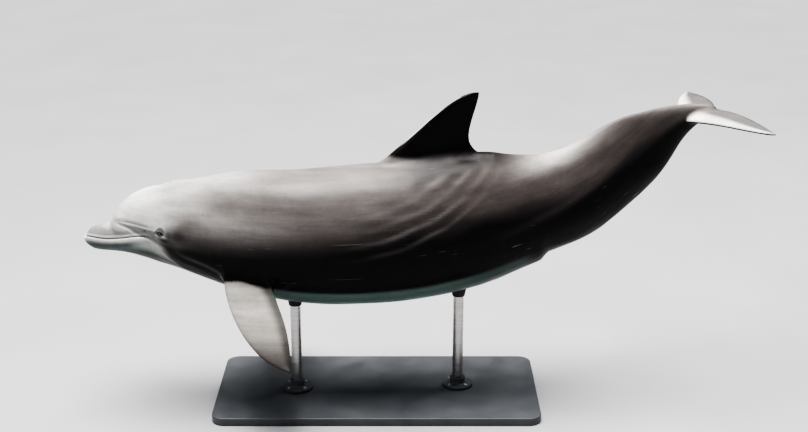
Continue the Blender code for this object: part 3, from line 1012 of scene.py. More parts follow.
@dataclass(frozen=True)
class FlankFolds:
    """Long folds where the skin bunches up below and behind the dorsal fin.

    They start level on the flank and climb more and more steeply towards the tail.
    """

    from_x: float = 1.08
    from_z: float = 0.07
    slope: float = 0.16
    bend: float = 0.42
    spacing: float = 0.051
    length: float = 0.54
    breadth: float = 0.1
    height: float = 2.6 * MM

    def wave(self, places: Floats) -> Floats:
        """Nearly 1 on the crest of a fold, and a little below 0 in the hollows between folds.

        The folds are a sine of the height over a curve that climbs as the square of x, drawn
        thinner by its own square, and all of it fades towards the ends and the sides.

        Args:
            places: the half grid.

        Returns:
            One number for each place.
        """
        x, z = places[..., 0], places[..., 2]
        along = x - self.from_x
        across = z - self.from_z - self.slope * along - self.bend * along**2
        bent = across + 0.006 * value_noise(places * np.array([9.0, 0.0, 13.0]), 0.7)
        crest = 1.35 * ((1 + np.sin(2 * np.pi * bent / self.spacing)) / 2) ** 2 - 0.45
        uneven = 0.55 + 0.45 * value_noise(places * np.array([6.0, 0.0, 24.0]), 5.2)
        ends = np.exp(-(((along - self.length / 2) / (self.length / 2)) ** 4))
        return crest * uneven * ends * np.exp(-((across / self.breadth) ** 4))

    def raised(self, places: Floats) -> Floats:
        """The height of the folds over the skin."""
        return self.height * self.wave(places)


@dataclass
class EyeSocket:
    """The lids: a lens-shaped opening whose rim hugs the eyeball, a rolled lid and a crease."""

    body: BodyForm
    ball_radius: float = 15.0 * MM
    ball_sink: float = 12.5 * MM
    half_length: float = 13.0 * MM
    half_height: float = 7.8 * MM
    tilt: float = -13.0
    rim: float = 0.7 * MM

    def __post_init__(self) -> None:
        """Finds the ball's centre and the three directions of the eye in straight space."""
        angle = math.radians(self.body.eye_angle)
        x = np.array(self.body.eye_x)
        self.centre = self.body.point(x, np.array(angle), -self.ball_sink)
        here = self.body.point(x, np.array(angle))
        behind = self.body.point(x + 0.004, np.array(angle)) - here
        above = self.body.point(x, np.array(angle - 0.03)) - here
        self.out = np.cross(behind, above)
        self.out /= np.linalg.norm(self.out)
        self.out *= np.sign(self.out[1])
        turn = math.radians(self.tilt)
        back = behind - self.out * (behind @ self.out)
        back /= np.linalg.norm(back)
        up = above - self.out * (above @ self.out)
        up -= back * (up @ back)
        up /= np.linalg.norm(up)
        self.back = back * math.cos(turn) + up * math.sin(turn)
        self.up = up * math.cos(turn) - back * math.sin(turn)

    def opening(self, places: Floats) -> tuple[Floats, Floats, Floats]:
        """The lens coordinate (1 on the lid's rim), the height on the eye, and how far up.

        Args:
            places: the half grid.

        Returns:
            The three values for each place.
        """
        off = places - self.centre
        back, up, out = off @ self.back, off @ self.up, off @ self.out
        half = np.where(up > 0, self.half_height, 0.86 * self.half_height)
        lens = np.sqrt((up / half) ** 2 + 0.02) + (back / self.half_length) ** 2 - 0.14
        lens = np.where(out > 0, lens, 9.0)
        ball = np.sqrt(np.clip(self.ball_radius**2 - back**2 - up**2, 0, None))
        return lens, ball - out, up / half

    def shape(self, places: Floats) -> tuple[Floats, Floats]:
        """Moves the skin round the eye along the eye's own outward direction.

        Inside the opening the skin lies behind the ball. Its rim stands just over the ball.
        Outside it a lid rolls up, a crease follows, and the skin returns to its own height.

        Args:
            places: the half grid.

        Returns:
            The moved places, and the lens coordinate for the colours.
        """
        lens, to_ball, up = self.opening(places)
        rim = to_ball + self.rim
        above = smooth_step(up * 2 + 0.5)
        roll = (1.5 + 0.7 * above) * MM * hump(lens - 1.55, 0.38)
        crease = (1.0 + 1.3 * above) * MM * hump(lens - 2.5, 0.34)
        brow = 1.4 * MM * above * hump(lens - 3.5, 0.8)
        outside = rim * fall(lens, 1.0, 1.0) + roll - crease + brow
        inside = rim - 3.4 * MM * smooth_step((1.0 - lens) / 0.22)
        lift = np.where(lens > 1, outside, inside) * fall(lens, 4.2, 1.6)
        return places + lift[..., None] * self.out, lens


@dataclass
class HideForm:
    """All the forms that the plain grid lacks: lips, creases, lids, folds and soft muscle."""

    body: BodyForm
    grid: HideGrid
    socket: EyeSocket
    gape_x: float = 0.262
    lip_depth: float = 4.2 * MM
    lip_width: float = 2.6 * MM
    folds: FlankFolds = FlankFolds()

    def mouth(self, x: Floats, places: Floats) -> Floats:
        """The closed mouth: a narrow groove along the mouth line between two rounded lips.

        The groove is a round hump of depth at the line, and each lip a lower hump beside it.

        Args:
            x: the columns.
            places: the half grid.

        Returns:
            The height over the skin, in metres.
        """
        away = self.from_mouth(x, places)
        share = self.before_gape(x) * (0.35 + 0.65 * rise(x, 0.012, 0.018))
        groove = self.lip_depth * hump(away, self.lip_width)
        lips = np.where(above_mouth(places) < 0, 1.5, 1.1) * MM * hump(away - 6.5 * MM, 4.5 * MM)
        return (lips - groove) * share[:, None]

    def before_gape(self, x: Floats) -> Floats:
        """1 along the mouth, fading to 0 at its corner."""
        return fall(x - self.gape_x, -0.012, 0.016)

    def from_mouth(self, x: Floats, places: Floats) -> Floats:
        """How far each place lies from the mouth line, all the way round the beak's tip."""
        away = np.linalg.norm(places - places[:, self.grid.key_row][:, None], axis=-1)
        return blend(np.abs(above_mouth(places)), away, behind_tip(x)[:, None])

    def muscle(self, places: Floats) -> Floats:
        """Soft relief of the trunk: a long hollow along the tail stock, and slow unevenness.

        Args:
            places: the half grid.

        Returns:
            The height over the skin, in metres.
        """
        x, z = places[..., 0], places[..., 2]
        stock = rise(x, 1.55, 0.35) * fall(x, 2.15, 0.2)
        hollow = -3.2 * MM * stock * hump(z + 0.012, 0.034)
        ridge = 1.6 * MM * stock * (hump(z - 0.062, 0.03) + hump(z + 0.085, 0.03))
        trunk = rise(x, 0.16, 0.3) * fall(x, 2.2, 0.2)
        keel = 13.0 * MM * hump(places[..., 1], 0.028) * (z > 0) * hump(x - 1.6, 0.065)
        slow = 1.1 * MM * value_noise(places * np.array([11.0, 15.0, 17.0]), 2.1)
        quick = 0.35 * MM * value_noise(places * np.array([34.0, 45.0, 52.0]), 4.4)
        return hollow + ridge + keel + (slow + quick) * trunk

    def marks(self, x: Floats, places: Floats, lens: Floats, on_body: Floats, on_flipper: Floats) -> Floats:
        """What the finish needs to know of each place.

        Args:
            x: the columns' places.
            places: the half grid before it was raised.
            lens: the lens coordinate round the eye.
            on_body: 1 on the body and 0 out on a fin.
            on_flipper: how far each place stands out on the flipper, in metres.

        Returns:
            How much painted shade darkens the mouth line, creases, grooves, holes and lids, how
            scratched the skin is, and how far a place lies beyond the line across the flipper's root, in
            metres.
        """
        # Painted shade: the mouth line, creases, grooves, holes, and the rim and crease of the lids are
        # darkened.
        line = hump(self.from_mouth(x, places), 1.9 * MM)
        dark = 0.85 * line * self.before_gape(x)[:, None]
        for groove in GROOVES.values():
            dark = np.maximum(dark, np.clip(-groove.height(places) / groove.depth, 0, 1) * groove.groove_shade)
        rim = hump(lens - 0.95, 0.3) + smooth_step((1.0 - lens) / 0.1)
        lid_line = 0.8 * hump(lens - 2.0, 0.7) * rise(places[..., 2], 0.046, 0.008)
        dark = np.maximum(dark * on_body, np.clip(rim + lid_line, 0, 1))
        scratched = (0.25 + 0.75 * rise(x, 0.3, 0.25))[:, None] * (0.2 + 0.8 * on_body)
        scratched = scratched * fall(x, 2.05, 0.2)[:, None]
        beyond = np.minimum(self.beyond_root(places), on_flipper + 0.012)
        return np.stack([dark, scratched, beyond], -1)

    def beyond_root(self, places: Floats) -> Floats:
        """How far each place lies beyond the line across the flipper's root, in metres."""
        line = 0.038 + 0.02 * rise(places[..., 0], 0.6, 0.12)
        return FLIPPER.reach_out(places) - line

    def apply(self, x: Floats, places: Floats, on_body: Floats) -> tuple[Floats, Floats]:
        """Raises and sinks the skin along its normals, then shapes the lids.

        Args:
            x: the columns' places.
            places: the half grid.
            on_body: 1 on the body and 0 out on a fin.

        Returns:
            The finished half grid and the lens coordinate round the eye.
        """
        height = self.mouth(x, places) + self.muscle(places) + self.folds.raised(places)
        for groove in GROOVES.values():
            height = height + groove.height(places)
        height = height * on_body
        moved = places + grid_normals(places) * height[..., None]
        moved[:, [0, -1], 1] = 0.0
        return self.socket.shape(moved)


# --- meshes ---


def ring_mesh(name: str, rings: Floats, uv_along: Floats, uv_round: Floats) -> Mesh:
    """A closed mesh from rings of points, each end drawn together at its mean point.

    Args:
        name: the mesh's name.
        rings: an array of rings, each of the same count of points.
        uv_along: where each ring lies along the unwrap.
        uv_round: where each point of a ring lies round the unwrap, with one more at its end.

    Returns:
        The mesh, smooth, with an OFBake map.
    """
    count, around = rings.shape[:2]
    ends = rings[[0, -1]].mean(1)
    points = np.concatenate([rings.reshape(-1, 3), ends])
    i, k = np.meshgrid(np.arange(count - 1), np.arange(around), indexing="ij")
    after = (k + 1) % around
    quads = np.stack([i * around + k, i * around + after, (i + 1) * around + after, (i + 1) * around + k], -1)
    quads = quads.reshape(-1, 4)
    k = np.arange(around)
    after = (k + 1) % around
    first = np.full(around, count * around)
    last_ring = (count - 1) * around
    front = np.stack([first, after, k], -1)
    back = np.stack([first + 1, last_ring + k, last_ring + after], -1)
    loops = np.concatenate([quads.ravel(), front.ravel(), back.ravel()])
    sizes = np.concatenate([np.full(len(quads), 4), np.full(2 * around, 3)])
    starts = np.concatenate([[0], np.cumsum(sizes)[:-1]])
    mesh = bpy.data.meshes.new(name)
    mesh.vertices.add(len(points))
    mesh.vertices.foreach_set("co", points.astype(np.float32).ravel())
    mesh.loops.add(len(loops))
    mesh.loops.foreach_set("vertex_index", loops.astype(np.int32))
    mesh.polygons.add(len(sizes))
    mesh.polygons.foreach_set("loop_start", starts.astype(np.int32))
    mesh.update(calc_edges=True)
    mesh.polygons.foreach_set("use_smooth", np.ones(len(sizes), bool))
    i, k = np.meshgrid(np.arange(count - 1), np.arange(around), indexing="ij")
    u = np.stack([uv_along[i], uv_along[i], uv_along[i + 1], uv_along[i + 1]], -1)
    v = np.stack([uv_round[k], uv_round[k + 1], uv_round[k + 1], uv_round[k]], -1)
    quad_uv = np.stack([u, v], -1).reshape(-1, 2)
    k = np.arange(around)
    middle = (uv_round[k] + uv_round[k + 1]) / 2
    zero, one = np.zeros(around), np.ones(around)
    front_uv = np.stack([np.stack([zero, zero + uv_along[0], zero + uv_along[0]], -1),
                         np.stack([middle, uv_round[k + 1], uv_round[k]], -1)], -1).reshape(-1, 2)
    back_uv = np.stack([np.stack([one, zero + uv_along[-1], zero + uv_along[-1]], -1),
                        np.stack([middle, uv_round[k], uv_round[k + 1]], -1)], -1).reshape(-1, 2)
    layer = mesh.uv_layers.new(name="OFBake")
    layer.uv.foreach_set("vector", np.concatenate([quad_uv, front_uv, back_uv]).astype(np.float32).ravel())
    mesh.validate()
    return mesh


def add_attribute(mesh: Mesh, name: str, values: Floats) -> None:
    """Stores one value for each point: numbers, places (3) or colours (4).

    Args:
        mesh: the mesh.
        name: the attribute's name.
        values: one row for each point.
    """
    kinds = {1: ("FLOAT", "value"), 3: ("FLOAT_VECTOR", "vector"), 4: ("FLOAT_COLOR", "color")}
    width = 1 if values.ndim == 1 else values.shape[1]
    kind, key = kinds[width]
    layer = mesh.attributes.new(name, kind, "POINT")
    layer.data.foreach_set(key, values.astype(np.float32).ravel())


def with_ends(rings: Floats) -> Floats:
    """Values in rings as one list, and then the mean of the first ring and of the last."""
    return np.concatenate([rings.reshape(-1, rings.shape[-1]), rings[[0, -1]].mean(1)])


def new_piece(
    name: str, mesh: Mesh, material: Material, slot: str, *nodes: str
) -> Object:
    """Puts a finished mesh in the scene, riding on the one body and standing for its nodes.

    Args:
        name: the piece's name.
        mesh: its finished mesh.
        material: its finish.
        slot: the slot of the finish; not used.
        *nodes: the nodes that it replaces.

    Returns:
        The new object.
    """
    piece = bpy.data.objects.new(name, mesh)
    bpy.context.scene.collection.objects.link(piece)
    mesh.materials.clear()
    mesh.materials.append(material)
    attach(piece, "root")
    if nodes:
        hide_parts(*nodes)
    LOG.info("%s: %d faces", name, len(mesh.polygons))
    return piece


# --- finishes ---


def linear(hex_colour: str) -> tuple[float, float, float]:
    """An sRGB hex colour as linear red, green and blue."""
    parts = [int(hex_colour[i : i + 2], 16) / 255 for i in (1, 3, 5)]
    return tuple(c / 12.92 if c <= 0.04045 else ((c + 0.055) / 1.055) ** 2.4 for c in parts)


def rgba(hex_colour: str) -> tuple[float, float, float, float]:
    """The same colour with full cover, as a socket takes it."""
    return (*linear(hex_colour), 1.0)


def add_node(
    tree: NodeTree,
    kind: str,
    inputs: dict[str, Any] | None = None,
    output: str = "",
    stops: Sequence[tuple[float, Any]] = (),
    **settings: Any,
) -> NodeSocket:
    """Adds a shader node with its settings, links and colour stops.

    Args:
        tree: the material's nodes.
        kind: the node's type, without its ShaderNode prefix.
        inputs: sockets by name or identifier, each with a value or with a socket to link.
        output: the wanted output's name or identifier, or nothing for the first.
        stops: positions and grey values or colours, for a colour ramp.
        settings: the node's own properties.

    Returns:
        The chosen output socket.
    """
    node = tree.nodes.new("ShaderNode" + kind)
    for name, value in settings.items():
        setattr(node, name, value)
    for key, value in (inputs or {}).items():
        socket = next(s for s in node.inputs if key in (s.identifier, s.name))
        if isinstance(value, NodeSocket):
            tree.links.new(value, socket)
        else:
            socket.default_value = value
    for number, (position, value) in enumerate(stops):
        elements = node.color_ramp.elements
        element = elements[number] if number < 2 else elements.new(position)
        element.position = position
        element.color = value if isinstance(value, tuple) else (value, value, value, 1.0)
    return next(s for s in node.outputs if output in ("", s.identifier, s.name))


def new_material(name: str) -> tuple[Material, NodeTree, Node]:
    """An empty material with its tree and its principled shader.

    Args:
        name: the material's name.

    Returns:
        The material, its tree and its shader.
    """
    material = bpy.data.materials.new(name)
    material.use_nodes = True
    tree = material.node_tree
    return material, tree, tree.nodes["Principled BSDF"]


@dataclass(frozen=True)
class WetHide:
    """Bare dolphin hide, smooth as wet rubber: a soft satin light with a thin film of water.

    The fine skin ridges of a living animal are 0.4 mm apart, far too fine to show, so they
    are drawn ten times as coarse and hardly deep. Rake marks are thin pale scratches along
    the body, 1 to 2 mm wide in life and drawn 3 mm wide.
    """

    name: str = "wet dolphin hide"
    roughness: float = 0.4
    mottle_size: float = 0.09
    speckle_size: float = 0.012
    ridge_size: float = 0.004
    dimple_size: float = 0.03
    pale: str = "#9A958F"
    # colour of the painted shade in creases, grooves, holes and round the eye
    dark: str = "#1E1B1B"

    def make(self) -> Material:
        """Builds the material from the hide's own colours, places and marks.

        Returns:
            The material.
        """
        material, tree, shader = new_material(self.name)
        # The hide's colour, with its painted light and shade.
        body = add_node(tree, "Attribute", {}, "Color", attribute_name="pigment")
        paddle = add_node(tree, "Attribute", {}, "Color", attribute_name="paddle")
        place = add_node(tree, "Attribute", {}, "Vector", attribute_name="straight")
        marks = add_node(tree, "Attribute", {}, "Color", attribute_name="marks")
        mark = add_node(tree, "SeparateColor", {"Color": marks}, "Red").node.outputs
        # The flipper's own colour starts beyond a line that wanders a little.
        wander = add_node(tree, "TexNoise", {"Vector": place, "Scale": 45.0, "Detail": 3.0})
        ragged = {"Value": wander, "Value_001": 0.01, "Value_002": mark["Blue"]}
        beyond = add_node(tree, "Math", ragged, operation="MULTIPLY_ADD")
        share = add_node(tree, "MapRange", {"Value": beyond, "From Min": 0.0, "From Max": 0.012})
        layers = {"Factor_Float": share, "A_Color": body, "B_Color": paddle}
        base = add_node(tree, "Mix", layers, **RGBA_MIX)
        # Wide mottling, strands along the body and speckle keep the hide from looking painted.
        mottle = add_node(tree, "TexNoise", {
            "Vector": place, "Scale": 1 / self.mottle_size, "Detail": 5.0,
            "Roughness": 0.55, "Distortion": 0.4,
        })
        lie = {"Vector": place, "Rotation": (0.0, 0.12, 0.0), "Scale": (3.4, 16.0, 34.0)}
        drawn = {"Vector": add_node(tree, "Mapping", lie), "Scale": 1.0}
        strand = add_node(tree, "TexNoise", {**drawn, "Detail": 4.0, "Roughness": 0.6})
        fine = {"Vector": place, "Scale": 1 / self.speckle_size, "Detail": 3.0}
        speckle = add_node(tree, "TexNoise", fine)
        for noise, amount, stops in (
            (mottle, 1.0, ((0.25, 0.8), (0.75, 1.0))),
            (strand, 0.8, ((0.32, 0.66), (0.64, 1.0))),
            (speckle, 0.8, ((0.3, 0.88), (0.7, 1.0))),
        ):
            shade = add_node(tree, "ValToRGB", {"Fac": noise}, stops=stops)
            layers = {"Factor_Float": amount, "A_Color": base, "B_Color": shade}
            base = add_node(tree, "Mix", layers, **RGBA_MIX, blend_type="MULTIPLY")
        # Pale rake marks in three directions.
        for turn, seed, cover in ((0.1, 0.0, 0.26), (-0.16, 3.7, 0.34), (0.3, 8.1, 0.22)):
            lie = {"Rotation": (0.0, turn, 0.0), "Location": (seed, seed, 0.0)}
            lying = add_node(tree, "Mapping", {"Vector": place, **lie, "Scale": (1.5, 80.0, 120.0)})
            drawn = {"Vector": lying, "Scale": 1.0, "Detail": 1.0, "Roughness": 0.4}
            streak = add_node(tree, "TexNoise", drawn)
            line = add_node(tree, "ValToRGB", {"Fac": streak}, stops=((0.76, 0.0), (0.84, cover)))
            both = {"Value": line, "Value_001": mark["Green"]}
            amount = add_node(tree, "Math", both, operation="MULTIPLY")
            layers = {"Factor_Float": amount, "A_Color": base, "B_Color": rgba(self.pale)}
            base = add_node(tree, "Mix", layers, **RGBA_MIX)
        # Painted shade in the creases, grooves, holes and round the eye, from the marks' red share.
        layers = {"Factor_Float": mark["Red"], "A_Color": base, "B_Color": rgba(self.dark)}
        tree.links.new(add_node(tree, "Mix", layers, **RGBA_MIX), shader.inputs["Base Color"])
        stops = ((0.3, self.roughness - 0.07), (0.7, self.roughness + 0.09))
        drier = add_node(tree, "ValToRGB", {"Fac": mottle}, stops=stops)
        tree.links.new(drier, shader.inputs["Roughness"])
        # Low dimples and fine ridges across the body keep the light soft.
        ridges = add_node(tree, "Mapping", {"Vector": place, "Scale": (1.0, 0.35, 0.35)})
        fine = {"Vector": ridges, "Scale": 1 / self.ridge_size, "Detail": 2.0}
        ridge = add_node(tree, "TexNoise", fine)
        wide = {"Vector": place, "Scale": 1 / self.dimple_size, "Detail": 4.0}
        both = {"Value": add_node(tree, "TexNoise", wide), "Value_001": 3.0, "Value_002": ridge}
        height = add_node(tree, "Math", both, operation="MULTIPLY_ADD")
        bump = add_node(tree, "Bump", {"Height": height, "Strength": 0.35, "Distance": 0.35 * MM})
        tree.links.new(bump, shader.inputs["Normal"])
        shader.inputs["IOR"].default_value = 1.34
        shader.inputs["Specular IOR Level"].default_value = 0.18
        shader.inputs["Coat Weight"].default_value = 0.05
        shader.inputs["Coat Roughness"].default_value = 0.25
        shader.inputs["Subsurface Weight"].default_value = 0.06
        shader.inputs["Subsurface Radius"].default_value = (0.008, 0.004, 0.003)
        shader.inputs["Subsurface Scale"].default_value = 0.5
        return material


@dataclass(frozen=True)
class EyeGloss:
    """A dolphin's eye: wet cornea over a dark brown iris with a wide, low pupil.

    The cornea gives one sharp highlight, and the iris shows only a little lighter than black.
    """

    name: str = "wet dark eye"
    iris: str = "#3A2418"
    rim: str = "#120D0B"
    pupil: str = "#040303"
    iris_radius: float = 6.2 * MM
    pupil_half: Pair = (4.2 * MM, 2.6 * MM)

    def make(self) -> Material:
        """Builds the material from the eyeball's own attribute, its place on the eye in metres.

        Returns:
            The material.
        """
        material, tree, shader = new_material(self.name)
        place = add_node(tree, "Attribute", {}, "Vector", attribute_name="on_eye")
        flat = add_node(tree, "VectorMath", {"Vector": place}, "Vector", operation="NORMALIZE")
        away = add_node(tree, "VectorMath", {"Vector": place}, "Value", operation="LENGTH")
        fibres = add_node(tree, "TexNoise", {"Vector": flat, "Scale": 26.0, "Detail": 3.0})
        shades = ((0.3, rgba(self.rim)), (0.75, rgba(self.iris)))
        iris = add_node(tree, "ValToRGB", {"Fac": fibres}, stops=shades)
        edge = add_node(tree, "MapRange", {"Value": away, "From Min": 0.9 * self.iris_radius,
                                           "From Max": 1.1 * self.iris_radius})
        ball = add_node(tree, "Mix", {"Factor_Float": edge, "A_Color": iris, "B_Color": rgba(self.rim)},
                        "Result_Color", data_type="RGBA")
        half = (1 / self.pupil_half[0], 1 / self.pupil_half[1], 0.0)
        oval = add_node(tree, "Mapping", {"Vector": place, "Scale": half})
        inside = add_node(tree, "VectorMath", {"Vector": oval}, "Value", operation="LENGTH")
        hole = add_node(tree, "MapRange", {"Value": inside, "From Min": 0.85, "From Max": 1.1})
        colour = add_node(tree, "Mix", {"Factor_Float": hole, "A_Color": rgba(self.pupil), "B_Color": ball},
                          "Result_Color", data_type="RGBA")
        tree.links.new(colour, shader.inputs["Base Color"])
        shader.inputs["Roughness"].default_value = 0.12
        shader.inputs["IOR"].default_value = 1.38
        shader.inputs["Coat Weight"].default_value = 1.0
        shader.inputs["Coat Roughness"].default_value = 0.02
        return material


@dataclass(frozen=True)
class PowderCoat:
    """Powder-coated steel: a satin charcoal skin with the slight orange peel of baked powder.

    The peel's bumps are 2 mm across, and here and there dust and rubbing lighten it a little.
    """

    name: str = "charcoal powder coat"
    colour: str = "#3B3D40"
    worn: str = "#4E5053"
    peel_size: float = 0.0022

    def make(self) -> Material:
        """Builds the material on object coordinates.

        Returns:
            The material.
        """
        material, tree, shader = new_material(self.name)
        place = add_node(tree, "TexCoord", {}, "Object")
        cloud = add_node(tree, "TexNoise", {"Vector": place, "Scale": 9.0, "Detail": 6.0, "Roughness": 0.6})
        shades = ((0.35, rgba(self.colour)), (0.8, rgba(self.worn)))
        colour = add_node(tree, "ValToRGB", {"Fac": cloud}, stops=shades)
        tree.links.new(colour, shader.inputs["Base Color"])
        satin = add_node(tree, "ValToRGB", {"Fac": cloud}, stops=((0.3, 0.42), (0.7, 0.55)))
        tree.links.new(satin, shader.inputs["Roughness"])
        peel = add_node(tree, "TexNoise", {"Vector": place, "Scale": 1 / self.peel_size, "Detail": 1.0})
        bump = add_node(tree, "Bump", {"Height": peel, "Strength": 0.25, "Distance": 0.15 * MM})
        tree.links.new(bump, shader.inputs["Normal"])
        return material


@dataclass(frozen=True)
class BrushedSteel:
    """Stainless steel tube, brushed round its girth: soft streaks and a long soft highlight.

    The brush lines are 0.3 mm apart in life and drawn 1 mm apart so that they show.
    """

    name: str = "brushed stainless steel"
    bright: str = "#C2C1BE"
    dull: str = "#9C9A97"
    line: float = 0.001

    def make(self) -> Material:
        """Builds the material on object coordinates, with lines lying level.

        Returns:
            The material.
        """
        material, tree, shader = new_material(self.name)
        place = add_node(tree, "TexCoord", {}, "Object")
        flat = add_node(tree, "Mapping", {"Vector": place, "Scale": (6.0, 6.0, 1 / self.line)})
        lines = add_node(tree, "TexNoise", {"Vector": flat, "Scale": 1.0, "Detail": 2.0})
        shades = ((0.3, rgba(self.dull)), (0.7, rgba(self.bright)))
        colour = add_node(tree, "ValToRGB", {"Fac": lines}, stops=shades)
        tree.links.new(colour, shader.inputs["Base Color"])
        rough = add_node(tree, "ValToRGB", {"Fac": lines}, stops=((0.3, 0.26), (0.7, 0.38)))
        tree.links.new(rough, shader.inputs["Roughness"])
        bump = add_node(tree, "Bump", {"Height": lines, "Strength": 0.12, "Distance": 0.05 * MM})
        tree.links.new(bump, shader.inputs["Normal"])
        shader.inputs["Metallic"].default_value = 1.0
        shader.inputs["Anisotropic"].default_value = 0.5
        return material


@dataclass(frozen=True)
class BlackRubber:
    """Moulded black rubber: matt, with the faint grain of its mould and some dust."""

    name: str = "moulded black rubber"
    colour: str = "#191919"
    dusty: str = "#2B2A29"

    def make(self) -> Material:
        """Builds the material on object coordinates.

        Returns:
            The material.
        """
        material, tree, shader = new_material(self.name)
        place = add_node(tree, "TexCoord", {}, "Object")
        dust = add_node(tree, "TexNoise", {"Vector": place, "Scale": 45.0, "Detail": 5.0})
        shades = ((0.4, rgba(self.colour)), (0.8, rgba(self.dusty)))
        colour = add_node(tree, "ValToRGB", {"Fac": dust}, stops=shades)
        tree.links.new(colour, shader.inputs["Base Color"])
        grain = add_node(tree, "TexNoise", {"Vector": place, "Scale": 900.0, "Detail": 1.0})
        bump = add_node(tree, "Bump", {"Height": grain, "Strength": 0.3, "Distance": 0.1 * MM})
        tree.links.new(bump, shader.inputs["Normal"])
        shader.inputs["Roughness"].default_value = 0.72
        return material


@dataclass(frozen=True)
class StudioPaper:
    """Seamless pale paper under the stand: matt, with hardly any mottling."""

    name: str = "pale studio paper"
    colour: str = "#98989A"
    shade: str = "#939395"

    def make(self) -> Material:
        """Builds the material on object coordinates.

        Returns:
            The material.
        """
        material, tree, shader = new_material(self.name)
        place = add_node(tree, "TexCoord", {}, "Object")
        cloud = add_node(tree, "TexNoise", {"Vector": place, "Scale": 1.5, "Detail": 3.0})
        shades = ((0.3, rgba(self.shade)), (0.7, rgba(self.colour)))
        colour = add_node(tree, "ValToRGB", {"Fac": cloud}, stops=shades)
        tree.links.new(colour, shader.inputs["Base Color"])
        shader.inputs["Roughness"].default_value = 0.85
        return material


# --- the dolphin ---


def mix(base: Floats, hex_colour: str, weight: Floats) -> Floats:
    """Blends an array of linear colours towards one named colour."""
    return base + np.clip(weight, 0, 1)[..., None] * (np.array(linear(hex_colour)) - base)


@dataclass(frozen=True)
class SoftPatch:
    """A soft oval of colour on the side of the body."""

    centre: Pair
    half: Pair
    tilt: float
    colour: str
    amount: float

    def weight(self, places: Floats) -> Floats:
        """A round hump over a tilted oval in the side view.

        Args:
            places: the half grid.

        Returns:
            How strongly the patch covers each place.
        """
        turn = math.radians(self.tilt)
        along, up = places[..., 0] - self.centre[0], places[..., 2] - self.centre[1]
        a = (along * math.cos(turn) + up * math.sin(turn)) / self.half[0]
        b = (up * math.cos(turn) - along * math.sin(turn)) / self.half[1]
        return self.amount * np.exp(-(a**2) - b**2)


